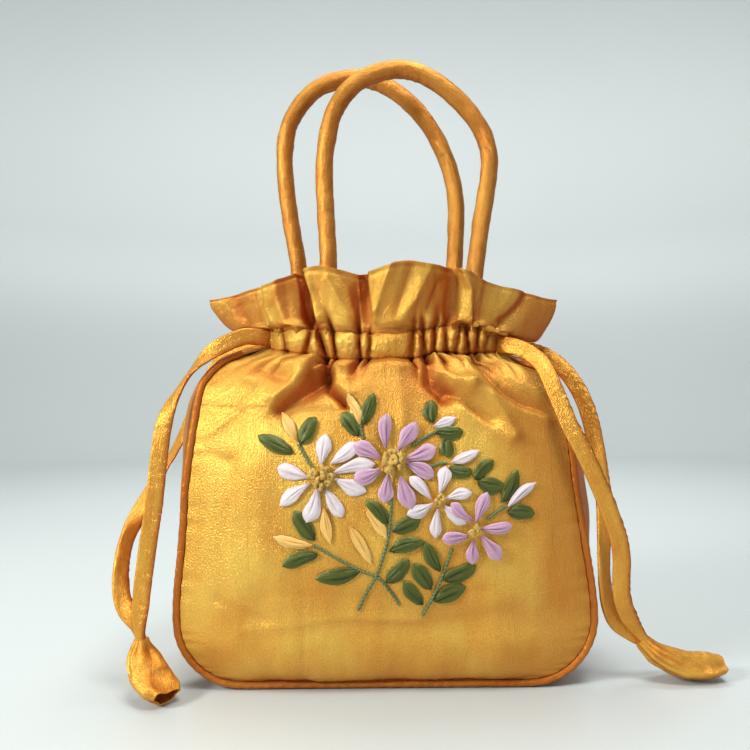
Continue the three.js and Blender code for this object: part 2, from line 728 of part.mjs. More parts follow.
// The neck's oval, as the channel and the foot of the ruffle follow it.
function neckDepthAt(across) {
  const oval = Math.sqrt(Math.max(1 - Math.abs(across) ** 3, 0));
  return (neckDepth / 2) * oval;
}

const channelEnd = 0.93;

function channelPoint(across, up, isFront) {
  const lowZ = neckHeight + gap + neckSeamRise[sideOf(across)] * Math.abs(across) ** liftPower;
  const highZ = channelTop - gap + Math.abs(across) ** liftPower;
  const z = lowZ + (highZ - lowZ) * up;
  const pull = gathersAt(isFront ? frontGathers : backGathers, across, neckHeight + up * channelHeight);
  const swell = channelSwell * Math.sin(Math.PI * up);
  const depth = neckDepthAt(across) + clothWall / 2 + swell - pull * (1 - Math.abs(across) ** 6);
  return new THREE.Vector3(across * neckHalf, isFront ? -depth : depth, z);
}

function buildChannel() {
  const frontPlaces = gatheredPlaces(frontGathers, channelEnd);
  const backPlaces = gatheredPlaces(backGathers, channelEnd).reverse();
  const grid = (places, isFront) =>
    [0, 0.5, 1].map((up) => places.map((across) => channelPoint(across, up, isFront)));
  addPiece("casing_front", clothWallFrom(grid(frontPlaces, true), channelWall), "gold");
  addPiece("casing_back", clothWallFrom(grid(backPlaces, false), channelWall), "gold");
}

const tailHalfDepth = 2.4;

function rufflePoint(row, up, isFront) {
  const side = Math.abs(row.at);
  const flare = readTable(tailRows, "up", "flare", up) * (ruffleWidth - neckWidth) * 0.5;
  const x = row.at * (neckHalf + flare * side ** 2.5);
  const middleZ = channelTop + gap + up * row.up * ruffleRise;
  const tail = readTable(tailRows, "up", row.at < 0 ? "left" : "right", up) * ruffleRise;
  const z = middleZ + (channelTop + gap + tail - middleZ) * side ** liftPower;
  const half = (neckDepth + (ruffleDepth - neckDepth) * up) / 2;
  const oval = Math.max(1 - side ** 3, 0) ** (0.5 + 0.7 * Math.sqrt(up));
  const tip = side < 1 ? tailHalfDepth : 0;
  const gathers = isFront ? frontGathers : backGathers;
  const pull = gathersAt(gathers, row.at, channelTop + up * ruffleRise) * (1 - side ** 6);
  const fold = row.out * ruffleFold * (0.3 + 0.7 * up);
  const depth = Math.max(half * oval + fold - pull, 0) + tip;
  return new THREE.Vector3(x, isFront ? -depth : depth, z);
}

function buildRuffle() {
  const tip = (at) => ({ at, up: 0.6, out: 0 });
  const ring = (up) => [
    rufflePoint(tip(-1), up, true),
    ...frontRuffle.map((row) => rufflePoint(row, up, true)),
    rufflePoint(tip(1), up, true),
    ...[...backRuffle].reverse().map((row) => rufflePoint(row, up, false)),
  ];
  const outer = tailRows.map((row) => ring(row.up));
  addPiece("ruffle", clothWallFrom(outer, clothWall, true), "gold");
}

// Depth of a handle's foot that lies against the inside of the channel's upper edge.
function footDepthAt(across, isFront) {
  const half = handleRadius / neckHalf;
  const faces = [-1, -0.5, 0, 0.5, 1].map((share) => {
    const left = channelPoint(across + (share - 0.1) * half, 1, isFront);
    const right = channelPoint(across + (share + 0.1) * half, 1, isFront);
    const slant = Math.hypot(1, (right.y - left.y) / (right.x - left.x));
    const sag = handleRadius * (1 - Math.sqrt(1 - share * share));
    return Math.abs(left.y + right.y) / 2 - channelWall * slant + sag;
  });
  return Math.min(...faces) - 2 * gap - handleRadius;
}

// A handle leans from its feet, inside the channel, to its top.
function buildHandle(name, rows, sign) {
  const feet = [rows[0], rows[rows.length - 1]].map((row) => footDepthAt(row.x, sign < 0));
  const points = rows.map((row, i) => {
    const foot = feet[i < rows.length / 2 ? 0 : 1];
    const share = Math.min(Math.max(row.up, 0) / handleLean, 1);
    const depth = foot + (handlesApart / 2 - foot) * share;
    return new THREE.Vector3(row.x * neckHalf, sign * depth, channelTop + row.up * handleRise);
  });
  const path = new THREE.CatmullRomCurve3(points, false, "centripetal");
  addPiece(name, sweep(roundSection(handleRadius, 8), path, 30), "gold");
}

// A flat string keeps its broad face to the front.
class FlatPath extends THREE.CatmullRomCurve3 {
  computeFrenetFrames(segments) {
    const frames = { tangents: [], normals: [], binormals: [] };
    for (let i = 0; i <= segments; i += 1) {
      const tangent = this.getTangentAt(i / segments);
      const face = new THREE.Vector3(0, -1, 0);
      face.addScaledVector(tangent, -face.dot(tangent)).normalize();
      frames.tangents.push(tangent);
      frames.normals.push(face);
      frames.binormals.push(tangent.clone().cross(face));
    }
    return frames;
  }
}

function flatSection(thickness, width) {
  const shape = new THREE.Shape();
  const corner = 0.28;
  const outline = [
    [0.5, corner], [corner, 0.5], [-corner, 0.5], [-0.5, corner],
    [-0.5, -corner], [-corner, -0.5], [corner, -0.5], [0.5, -corner],
  ];
  outline.forEach(([x, y], i) => {
    if (i === 0) shape.moveTo(x * thickness, y * width);
    else shape.lineTo(x * thickness, y * width);
  });
  shape.closePath();
  return shape;
}

function buildStrings() {
  const section = flatSection(stringThickness, stringWidth);
  for (const [name, route] of Object.entries(stringRoutes)) {
    const path = new FlatPath(route.map((point) => new THREE.Vector3(...point)));
    addPiece("drawstring_" + name, sweep(section, path, stringSteps), "gold");
  }
}

// A lump of cloth along a curve, by rows of its width and thickness.
const lumpSides = 10;

function buildStringEnd(name, route) {
  const path = new THREE.CatmullRomCurve3(route.map((point) => new THREE.Vector3(...point)));
  const positions = [];
  const index = [];
  stringEndRows.forEach((row) => {
    const centre = path.getPointAt(row.along);
    const along = path.getTangentAt(row.along);
    const across = new THREE.Vector3(along.y, -along.x, 0).normalize();
    if (Math.hypot(along.x, along.y) < 0.3) across.set(0, -1, 0).cross(along).normalize();
    const over = along.clone().cross(across);
    for (let i = 0; i < lumpSides; i += 1) {
      const turn = (i / lumpSides) * 2 * Math.PI;
      const point = centre.clone();
      point.addScaledVector(across, (Math.cos(turn) * row.wide * stringEndWidth) / 2);
      point.addScaledVector(over, (Math.sin(turn) * row.thick * stringEndThickness) / 2);
      positions.push(point.x, point.y, point.z);
    }
  });
  const last = (stringEndRows.length - 1) * lumpSides;
  for (let i = 0; i < lumpSides; i += 1) {
    const next = (i + 1) % lumpSides;
    for (let r = 0; r < last; r += lumpSides) {
      index.push(r + i, r + next, r + lumpSides + next);
      index.push(r + i, r + lumpSides + next, r + lumpSides + i);
    }
    if (i > 0 && i < lumpSides - 1) {
      index.push(0, next, i);
      index.push(last, last + i, last + next);
    }
  }
  addPiece(name, closedGeometry(positions, index), "gold");
}

// Embroidery: charted places in millimetres on the panel.
const ribbonLift = 0.7;

function charted(x, z) {
  const square = sprayWidth / chartSteps;
  return { x: sprayMiddle.x * halfWidth + x * square, z: sprayMiddle.z * neckHeight + z * square };
}

// A ribbon stitch over the cloth: along a list of places, each with its half width and height.
function ribbonOver(places) {
  const positions = [];
  const index = [];
  places.forEach((place, i) => {
    const before = places[Math.max(i - 1, 0)];
    const after = places[Math.min(i + 1, places.length - 1)];
    const length = Math.hypot(after.x - before.x, after.z - before.z);
    const sideX = ((after.z - before.z) / length) * place.half;
    const sideZ = (-(after.x - before.x) / length) * place.half;
    const edge = ribbonLift + place.high * 0.4;
    const ring = [
      onPanel(place.x - sideX, place.z - sideZ, edge),
      onPanel(place.x, place.z, ribbonLift + place.high),
      onPanel(place.x + sideX, place.z + sideZ, edge),
      onPanel(place.x, place.z, ribbonLift),
    ];
    ring.forEach((p) => positions.push(p.x, p.y, p.z));
  });
  const last = (places.length - 1) * 4;
  for (let r = 0; r < last; r += 4) {
    for (let i = 0; i < 4; i += 1) {
      const next = (i + 1) % 4;
      index.push(r + i, r + next, r + 4 + next);
      index.push(r + i, r + 4 + next, r + 4 + i);
    }
  }
  index.push(0, 2, 1, 0, 3, 2);
  index.push(last, last + 1, last + 2, last, last + 2, last + 3);
  return closedGeometry(positions, index);
}

function stitch(rows, from, to, width) {
  const places = rows.map((row) => ({
    x: from.x + (to.x - from.x) * row.along,
    z: from.z + (to.z - from.z) * row.along,
    half: (row.wide * width) / 2,
    high: row.high * ribbonHeight,
  }));
  return ribbonOver(places);
}

// A round pad over the cloth, with rings of shares of its radius and heights.
function padOver(centre, radius, rings) {
  const sides = 8;
  const positions = [];
  const index = [];
  for (const ring of rings) {
    for (let i = 0; i < sides; i += 1) {
      const turn = (i / sides) * 2 * Math.PI;
      const x = centre.x + radius * ring.wide * Math.cos(turn);
      const z = centre.z + radius * ring.wide * Math.sin(turn);
      const p = onPanel(x, z, ring.high);
      positions.push(p.x, p.y, p.z);
    }
  }
  const last = (rings.length - 1) * sides;
  for (let i = 0; i < sides; i += 1) {
    const next = (i + 1) % sides;
    for (let r = 0; r < last; r += sides) {
      index.push(r + i, r + next, r + sides + next);
      index.push(r + i, r + sides + next, r + sides + i);
    }
    if (i > 0 && i < sides - 1) {
      index.push(0, next, i);
      index.push(last, last + i, last + next);
    }
  }
  return closedGeometry(positions, index);
}

// Closed meshes joined into one.
function solidOf(geometry) {
  const merged = mergeVertices(geometry, 1e-4);
  const mesh = new wasm.Mesh({
    numProp: 3,
    vertProperties: new Float32Array(merged.attributes.position.array),
    triVerts: new Uint32Array(merged.index.array),
  });
  return new wasm.Manifold(mesh);
}

function joined(geometries) {
  const solid = geometries.map(solidOf).reduce((whole, piece) => whole.add(piece));
  const mesh = solid.getMesh();
  return closedGeometry(Array.from(mesh.vertProperties), Array.from(mesh.triVerts));
}

function buildFlower(flower) {
  const centre = charted(flower.x, flower.z);
  const petals = flower.tips.map(([x, z]) =>
    stitch(petalRows, centre, charted(flower.x + x, flower.z + z), flower.width),
  );
  const hubHeight = ribbonLift + ribbonHeight;
  const hub = padOver(centre, flower.hub * 0.8, [
    { wide: 1, high: ribbonLift },
    { wide: 1, high: hubHeight },
  ]);
  addPiece("flower_" + flower.name, joined([...petals, hub]), flower.colour);
  const foot = hubHeight + gap;
  const knot = padOver(centre, flower.hub, [
    { wide: 0.85, high: foot },
    { wide: 1, high: foot + knotHeight * 0.45 },
    { wide: 0.62, high: foot + knotHeight },
  ]);
  addPiece("flower_centre_" + flower.name, knot, "yellow");
}

function buildGreenery(plant) {
  const stems = plant.stems.map((stem) =>
    ribbonOver(stem.map(([x, z]) => ({ ...charted(x, z), half: stemWidth / 2, high: stemWidth }))),
  );
  const leaves = plant.leaves.map(([x0, z0, x1, z1]) =>
    stitch(leafRows, charted(x0, z0), charted(x1, z1), leafWidth),
  );
  addPiece("green_" + plant.name, joined([...stems, ...leaves]), "green");
}

function buildEmbroidery() {
  flowers.forEach(buildFlower);
  greenery.forEach(buildGreenery);
  for (const bud of buds) {
    const [x0, z0, x1, z1] = bud.ends;
    const geometry = stitch(leafRows, charted(x0, z0), charted(x1, z1), budWidth);
    addPiece("bud_" + bud.name, geometry, bud.colour);
  }
}

const frontPanel = buildFrontPanel();
buildBackPanel();
buildGusset();
buildPiping("front_piping", -1);
buildPiping("back_piping", 1);
buildChannel();
buildRuffle();
buildHandle("handle_front", frontHandle, -1);
buildHandle("handle_back", backHandle, 1);
buildStrings();
buildStringEnd("string_end_left", stringEnds.left);
buildStringEnd("string_end_right", stringEnds.right);
buildEmbroidery();

export default model;
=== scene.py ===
"""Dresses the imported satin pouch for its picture.

The pouch is a small standing handbag of shot gold satin. A gathered bag on a flat bottom carries a
drawstring channel, a flared ruffle, two stuffed handles, four flat strings that end in two knotted
tabs, and a spray of ribbon-embroidered daisies. Lengths are in metres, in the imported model's frame:
+Z is up, the embroidered front faces -Y, and the origin is under the middle of the bag.
"""

import logging
import math
from collections.abc import Callable
from dataclasses import dataclass, field
from enum import Enum

import bmesh
import bpy
import numpy as np
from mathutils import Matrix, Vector, noise
from mathutils.bvhtree import BVHTree


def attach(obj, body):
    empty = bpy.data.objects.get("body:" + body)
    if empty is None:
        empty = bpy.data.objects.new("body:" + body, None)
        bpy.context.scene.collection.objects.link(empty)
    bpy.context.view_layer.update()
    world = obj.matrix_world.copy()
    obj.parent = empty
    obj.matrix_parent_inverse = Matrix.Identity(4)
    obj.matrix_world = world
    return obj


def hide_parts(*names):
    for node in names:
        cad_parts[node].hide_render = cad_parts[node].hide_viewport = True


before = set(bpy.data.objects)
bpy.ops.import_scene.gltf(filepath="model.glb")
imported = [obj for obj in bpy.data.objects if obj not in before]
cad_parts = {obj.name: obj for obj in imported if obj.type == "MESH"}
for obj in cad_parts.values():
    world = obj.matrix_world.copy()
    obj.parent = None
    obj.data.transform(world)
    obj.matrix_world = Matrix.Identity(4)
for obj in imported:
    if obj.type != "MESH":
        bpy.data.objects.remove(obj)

Array = np.ndarray
LOG = logging.getLogger("pouch")
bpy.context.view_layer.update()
BODY = "root"
BAG_MIDDLE = (0.0, 0.0, 0.12)
# The way the light comes from, used only to paint shade on faces turned from it.
LIT_WAY = (-0.55, 0.5, 0.70)


class Side(Enum):
    """The bag's two sides, with the sign of X on each."""

    LEFT = -1
    RIGHT = 1


class Face(Enum):
    """The bag's two faces, with the sign of Y on each."""

    FRONT = -1
    BACK = 1


def bell(distance: Array, width: float) -> Array:
    """Returns a rounded bump of height 1 that fades over a width."""
    return np.exp(-np.abs(distance / width) ** 2.0)


def ease(value: Array, low: float, high: float) -> Array:
    """Returns a smooth step from 0 at low to 1 at high."""
    share = np.clip((np.asarray(value, dtype=float) - low) / (high - low), 0.0, 1.0)
    return share * share * (3.0 - 2.0 * share)


def along_rows(values: Array, at: Array) -> Array:
    """Reads given rows at places between them, on a smooth curve.

    Args:
        values: one number, or one point, for each row.
        at: places counted in rows, such as 2.5.

    Returns:
        The number or point at each place.
    """
    values = np.asarray(values, dtype=float)
    at = np.asarray(at, dtype=float)
    last = len(values) - 1
    row = np.clip(np.floor(at).astype(int), 0, last - 1)
    t = at - row
    if values.ndim > 1:
        t = t[..., None]
    before = values[np.maximum(row - 1, 0)]
    start, end = values[row], values[row + 1]
    after = values[np.minimum(row + 2, last)]
    curve = 2.0 * start + (end - before) * t
    curve += (2.0 * before - 5.0 * start + 4.0 * end - after) * t**2
    curve += (3.0 * start - before - 3.0 * end + after) * t**3
    return 0.5 * curve


def between(keys: Array, values: Array, at: Array) -> Array:
    """Reads a table whose rows are unevenly spaced, on a smooth curve.

    Args:
        keys: the rows' places, in rising order.
        values: the rows' numbers.
        at: the places to read.

    Returns:
        The number at each place, held level past the ends.
    """
    keys = np.asarray(keys, dtype=float)
    at = np.clip(np.asarray(at, dtype=float), keys[0], keys[-1])
    row = np.clip(np.searchsorted(keys, at, side="right") - 1, 0, len(keys) - 2)
    share = (at - keys[row]) / (keys[row + 1] - keys[row])
    return along_rows(values, row + share)


def spread(points: Array, count: int) -> Array:
    """Returns count places, counted in rows, at equal steps along a curve through points."""
    between = 40
    fine = np.linspace(0.0, len(points) - 1.0, between * len(points))
    curve = along_rows(points, fine)
    steps = np.linalg.norm(np.diff(curve, axis=0), axis=1)
    reach = np.concatenate([[0.0], np.cumsum(steps)])
    return np.interp(np.linspace(0.0, reach[-1], count), reach, fine)


def even_path(points: Array, count: int) -> Array:
    """Returns count points at equal steps on the smooth curve through a few points."""
    return along_rows(points, spread(points, count))


def turns(count: int) -> Array:
    """Returns the angles of count places at equal steps round a ring, as one row."""
    return np.linspace(0.0, 2.0 * math.pi, count + 1)[None, :-1]


def unit(vectors: Array) -> Array:
    """Returns each vector at length 1."""
    return vectors / np.linalg.norm(vectors, axis=-1, keepdims=True)


def smoothed(path: Array, reach: int) -> Array:
    """Returns a path with its small kinks rounded off and its ends kept."""
    weights = np.hanning(2 * reach + 3)[1:-1]
    weights /= weights.sum()
    before = 2.0 * path[0] - path[reach:0:-1]
    after = 2.0 * path[-1] - path[-2:-reach - 2:-1]
    whole = np.concatenate([before, path, after])
    return np.stack([np.convolve(whole[:, k], weights, mode="valid") for k in range(3)], axis=-1)


@dataclass(frozen=True)
class Dents:
    """Smooth, repeatable unevenness: its size, height and finer layers.

    stretch says how much closer the dents lie along each axis, and shift picks another pattern.
    """

    size: float
    height: float = 1.0
    octaves: int = 3
    stretch: tuple[float, float, float] = (1.0, 1.0, 1.0)
    shift: float = 0.0

    def over(self, points: Array) -> Array:
        """Returns the unevenness at each point."""
        flat = ((points * np.array(self.stretch) + self.shift) / self.size).reshape(-1, 3)
        values = [noise.fractal(Vector(p), 1.0, 2.0, self.octaves) for p in flat.tolist()]
        return self.height * np.array(values).reshape(points.shape[:-1])


def run(operator: Callable, target: bpy.types.Object, **options) -> None:
    """Runs an operator with one object alone selected and active."""
    bpy.ops.object.select_all(action="DESELECT")
    target.select_set(True)
    bpy.context.view_layer.objects.active = target
    operator(**options)


@dataclass
class ClothGrid:
    """A cloth given as a grid of points on its outer face, rows from its foot up."""

    name: str
    points: Array
    is_ring: bool = False
    wall: float = 0.0014
    # How strongly faces turned from the light are painted in shade.
    painted_shade_weight: float = 0.95
    tints: dict[str, Array] = field(default_factory=dict)

    def normals(self) -> Array:
        """Returns the outward direction at each point."""
        p = self.points
        if self.is_ring:
            across = np.roll(p, -1, axis=1) - np.roll(p, 1, axis=1)
        else:
            across = np.gradient(p, axis=1)
        out = np.cross(across, np.gradient(p, axis=0))
        return out / np.maximum(np.linalg.norm(out, axis=2, keepdims=True), 1e-12)

    def push(self, height: Array) -> None:
        """Moves each point outwards by its own height."""
        self.points = self.points + self.normals() * height[..., None]

    def faces(self) -> Array:
        """Returns the grid's four-sided faces, as numbers of points."""
        rows, columns = self.points.shape[:2]
        index = np.arange(rows * columns).reshape(rows, columns)
        if self.is_ring:
            index = np.hstack([index, index[:, :1]])
        corners = (index[:-1, :-1], index[:-1, 1:], index[1:, 1:], index[1:, :-1])
        return np.stack(corners, axis=-1).reshape(-1, 4)

    def whole_rows(self) -> Array:
        """Returns the points with each row of a ring brought back to its start."""
        return np.hstack([self.points, self.points[:, :1]]) if self.is_ring else self.points

    def flat_places(self) -> Array:
        """Returns each face corner's place on the flat cloth, in metres."""
        p = self.whole_rows()
        step = np.linalg.norm(np.diff(p, axis=1), axis=2)
        u = np.hstack([np.zeros((p.shape[0], 1)), np.cumsum(step, axis=1)])
        u -= u[:, u.shape[1] // 2][:, None]
        rise = np.linalg.norm(np.diff(p, axis=0), axis=2)
        v = np.vstack([np.zeros((1, p.shape[1])), np.cumsum(rise, axis=0)])
        uv = np.stack([u, v], axis=-1)
        corners = (uv[:-1, :-1], uv[:-1, 1:], uv[1:, 1:], uv[1:, :-1])
        return np.stack(corners, axis=2).reshape(-1, 2)

    def painted_shade_from_light(self) -> Array:
        """Returns painted shade by which way each place faces: the more it faces away from LIT_WAY, the
        more deep colour.
        """
        out = self.normals()
        sideways, forwards, upwards = LIT_WAY
        towards = sideways * out[..., 0] + forwards * np.abs(out[..., 1]) + upwards * out[..., 2]
        return self.painted_shade_weight * np.clip(0.50 - 0.80 * towards, 0.0, 1.0)

    def make(self) -> bpy.types.Object:
        """Returns the outer face as a mesh object, with its flat places as its UV map."""
        # Painted shade: faces turned from the light are darkened on top of the fold tint.
        if "fold" in self.tints:
            self.tints["fold"] = np.clip(self.tints["fold"] + self.painted_shade_from_light(), 0.0, 1.0)
        mesh = bpy.data.meshes.new(self.name)
        mesh.from_pydata(self.points.reshape(-1, 3).tolist(), [], self.faces().tolist())
        layer = mesh.uv_layers.new(name="UVMap")
        layer.data.foreach_set("uv", self.flat_places().ravel())
        for tint, values in self.tints.items():
            attribute = mesh.attributes.new(tint, "FLOAT", "POINT")
            attribute.data.foreach_set("value", values.ravel())
        piece = bpy.data.objects.new(self.name, mesh)
        bpy.context.scene.collection.objects.link(piece)
        return piece

    def sewn(self) -> bpy.types.Object:
        """Returns the cloth as a closed wall of its thickness, smooth apart from its rims."""
        piece = self.make()
        wall = piece.modifiers.new("wall", "SOLIDIFY")
        wall.thickness = self.wall
        wall.offset = -1.0
        run(bpy.ops.object.modifier_apply, piece, modifier="wall")
        run(bpy.ops.object.shade_smooth_by_angle, piece, angle=math.radians(50.0))
        return piece


@dataclass
class Tube:
    """A closed tube along a path, with a section that may change on the way."""

    name: str
    path: Array
    across: Array
    over: Array
    tints: dict[str, Array] = field(default_factory=dict)

    @staticmethod
    def frames(path: Array, face: Array) -> tuple[Array, Array]:
        """Works out the directions of a path's sections.

        Args:
            path: the path's points.
            face: the direction that the section's first axis looks to, for each point.

        Returns:
            The first axes and the second axes.
        """
        tangent = unit(np.gradient(path, axis=0))
        first = unit(face - tangent * np.sum(face * tangent, axis=1, keepdims=True))
        return first, np.cross(tangent, first)

    def make(self, face: Array) -> bpy.types.Object:
        """Builds the tube, closed at both ends.

        Args:
            face: the direction that the section's first axis looks to, for each point.

        Returns:
            The tube as a mesh object.
        """
        first, second = self.frames(self.path, face)
        points = self.path[:, None, :] + first[:, None, :] * self.over[..., None]
        points = points + second[:, None, :] * self.across[..., None]
        # Painted shade on faces turned from the light, where the tube has a fold tint.
        grid = ClothGrid(self.name, points, is_ring=True, painted_shade_weight=0.85, tints=self.tints)
        piece = grid.make()
        close_ends(piece, points.shape[1])
        run(bpy.ops.object.shade_smooth_by_angle, piece, angle=math.radians(60.0))
        return piece


def close_ends(piece: bpy.types.Object, sides: int) -> None:
    """Closes a tube's first and last rings of points with one face each."""
    shape = bmesh.new()
    shape.from_mesh(piece.data)
    shape.verts.ensure_lookup_table()
    count = len(shape.verts)
    shape.faces.new([shape.verts[i] for i in range(sides)][::-1])
    shape.faces.new([shape.verts[i] for i in range(count - sides, count)])
    shape.to_mesh(piece.data)
    shape.free()


def joined(pieces: list[bpy.types.Object], name: str) -> bpy.types.Object:
    """Returns several mesh objects joined into one of a given name."""
    bpy.ops.object.select_all(action="DESELECT")
    for piece in pieces:
        piece.select_set(True)
    bpy.context.view_layer.objects.active = pieces[0]
    if len(pieces) > 1:
        bpy.ops.object.join()
    whole = bpy.context.view_layer.objects.active
    whole.name = name
    whole.data.name = name
    return whole


class NodeBoard:
    """A material's nodes, with short calls to add and join them."""

    def __init__(self, name: str) -> None:
        """Starts a material that has a Principled shader and its output."""
        self.material = bpy.data.materials.new(name)
        self.material.use_nodes = True
        self.tree = self.material.node_tree
        self.tree.nodes.clear()
        self.output = self.tree.nodes.new("ShaderNodeOutputMaterial")
        self.shader = self.tree.nodes.new("ShaderNodeBsdfPrincipled")
        self.join(self.shader.outputs["BSDF"], self.output.inputs["Surface"])

    def add(self, kind: str, inputs: dict | None = None, **settings) -> bpy.types.Node:
        """Adds a node of a kind, with its settings and the values of its sockets."""
        node = self.tree.nodes.new("ShaderNode" + kind)
        for key, value in settings.items():
            setattr(node, key, value)
        return self.fill(node, inputs or {})

    def fill(self, node: bpy.types.Node, inputs: dict) -> bpy.types.Node:
        """Gives a node's sockets their values, or links other sockets to them."""
        for key, value in inputs.items():
            if isinstance(value, bpy.types.NodeSocket):
                self.join(value, node.inputs[key])
            else:
                node.inputs[key].default_value = value
        return node

    def join(self, source: bpy.types.NodeSocket, target: bpy.types.NodeSocket) -> None:
        """Links one socket to another."""
        self.tree.links.new(source, target)

    def stretched(self, scale: tuple[float, float, float], source: str = "UV") -> bpy.types.NodeSocket:
        """Returns flat or object places, scaled along each axis."""
        place = self.add("TexCoord")
        mapping = self.add("Mapping", {"Vector": place.outputs[source], "Scale": scale})
        return mapping.outputs["Vector"]

    def grain(
        self, place: bpy.types.NodeSocket, detail: float = 2.0, distortion: float = 0.0
    ) -> bpy.types.NodeSocket:
        """Returns the value of a noise at places that are already scaled."""
        settings = {"Vector": place, "Scale": 1.0, "Detail": detail, "Distortion": distortion}
        return self.add("TexNoise", settings).outputs["Fac"]

    def spanned(
        self, value: bpy.types.NodeSocket, low: float, high: float, start: float = 0.0, end: float = 1.0
    ) -> bpy.types.NodeSocket:
        """Returns a value that goes from start to end while another goes from low to high."""
        span = {"Value": value, "From Min": low, "From Max": high, "To Min": start, "To Max": end}
        return self.add("MapRange", span).outputs[0]

    def ramp(
        self, value: bpy.types.NodeSocket, stops: list[tuple[float, tuple]]
    ) -> bpy.types.NodeSocket:
        """Returns a colour that follows a value between two stops."""
        node = self.add("ValToRGB", {"Fac": value})
        for element, (place, colour) in zip(node.color_ramp.elements, stops):
            element.position = place
            element.color = (*colour, 1.0)
        return node.outputs["Color"]

    def blend(
        self, share: bpy.types.NodeSocket, first: bpy.types.NodeSocket | tuple,
        second: bpy.types.NodeSocket | tuple,
    ) -> bpy.types.NodeSocket:
        """Returns a colour between two, each a socket or three numbers, by a share."""
        node = self.add("Mix", {"Factor": share}, data_type="RGBA", blend_type="MIX")
        for key, colour in ((6, first), (7, second)):
            is_socket = isinstance(colour, bpy.types.NodeSocket)
            self.fill(node, {key: colour if is_socket else (*colour, 1.0)})
        return node.outputs[2]

    def relief(
        self, height: bpy.types.NodeSocket, depth: float, under: bpy.types.NodeSocket | None = None
    ) -> bpy.types.NodeSocket:
        """Returns normals for a height that is depth metres at most, over others."""
        inputs = {"Height": height, "Strength": 1.0, "Distance": depth}
        if under is not None:
            inputs["Normal"] = under
        return self.add("Bump", inputs).outputs["Normal"]


@dataclass(frozen=True)
class ShotSatin:
    """Satin with threads of two colours that glows yellow in the light; deep is its colour of painted
    shade, in folds and on faces turned from the light.
    """

    name: str
    lit: tuple[float, float, float]
    plain: tuple[float, float, float]
    deep: tuple[float, float, float]
    roughness: float = 0.33
    metallic: float = 0.44
    slub_depth: float = 0.00014
    fleck_depth: float = 0.00044
    crease_depth: float = 0.00020
    line_depth: float = 0.00009
    line_width: float = 0.022
    across_threads: float = 0.55
    sheen: float = 0.32
    sheen_tint: tuple[float, float, float] = (1.0, 0.72, 0.38)
    slubs: tuple[float, float, float] = (1500.0, 150.0, 1.0)
    flecks: tuple[float, float, float] = (1500.0, 1000.0, 1.0)
    clouds: tuple[float, float, float] = (32.0, 24.0, 1.0)
    bark: tuple[float, float, float] = (330.0, 42.0, 1.0)
    lines: tuple[float, float, float] = (75.0, 11.0, 1.0)
    creases: tuple[float, float, float] = (120.0, 90.0, 1.0)

    def material(self) -> bpy.types.Material:
        """Builds the satin: uneven dye, pale flecks of painted sparkle, and painted shade in the deep
        colour where the fold attribute says.
        """
        board = NodeBoard(self.name)
        slub = board.grain(board.stretched(self.slubs), 3.0)
        cloud = board.grain(board.stretched(self.clouds), 3.0)
        fleck = board.grain(board.stretched(self.flecks), 2.0)
        dye = board.spanned(cloud, 0.35, 0.65, 0.0, 0.55)
        # Pale flecks in the colour: painted sparkle of the satin's highlights.
        painted_sparkle = board.spanned(fleck, 0.42, 0.66, 0.0, 0.5)
        share = board.add("Math", {0: dye, 1: painted_sparkle}, operation="ADD", use_clamp=True)
        tone = board.blend(share.outputs[0], self.plain, self.lit)
        # The fold attribute is painted shade: it blends the colour towards deep.
        fold = board.add("Attribute", attribute_name="fold")
        tangent = board.add("Tangent", direction_type="UV_MAP")
        board.fill(board.shader, {
            "Base Color": board.blend(fold.outputs["Fac"], tone, self.deep),
            "Normal": self.surface(board, slub, fleck), "Tangent": tangent.outputs["Tangent"],
            "Roughness": self.roughness, "Metallic": self.metallic, "Anisotropic": self.across_threads,
            "Specular IOR Level": self.sheen, "Specular Tint": (*self.sheen_tint, 1.0),
        })
        return board.material

    def surface(
        self, board: NodeBoard, slub: bpy.types.NodeSocket, fleck: bpy.types.NodeSocket
    ) -> bpy.types.NodeSocket:
        """Returns the satin's surface: slubs, flecks, bark-like lines and creases."""
        grained = board.relief(fleck, self.fleck_depth, board.relief(slub, self.slub_depth))
        barked = board.relief(self.ridged(board, self.bark, 1.6), self.crease_depth, grained)
        line = board.spanned(self.ridged(board, self.lines, 0.6), 0.0, self.line_width, 1.0, 0.0)
        lined = board.relief(line, self.line_depth, barked)
        return board.relief(self.ridged(board, self.creases, 1.0), self.crease_depth, lined)

    def ridged(self, board: NodeBoard, scale: tuple, twist: float) -> bpy.types.NodeSocket:
        """Returns a height with sharp, wandering creases."""
        bend = board.grain(board.stretched(scale), 3.0, twist)
        ridge = board.add("Math", {0: bend, 1: 0.5}, operation="SUBTRACT")
        return board.add("Math", {0: ridge.outputs[0]}, operation="ABSOLUTE").outputs[0]


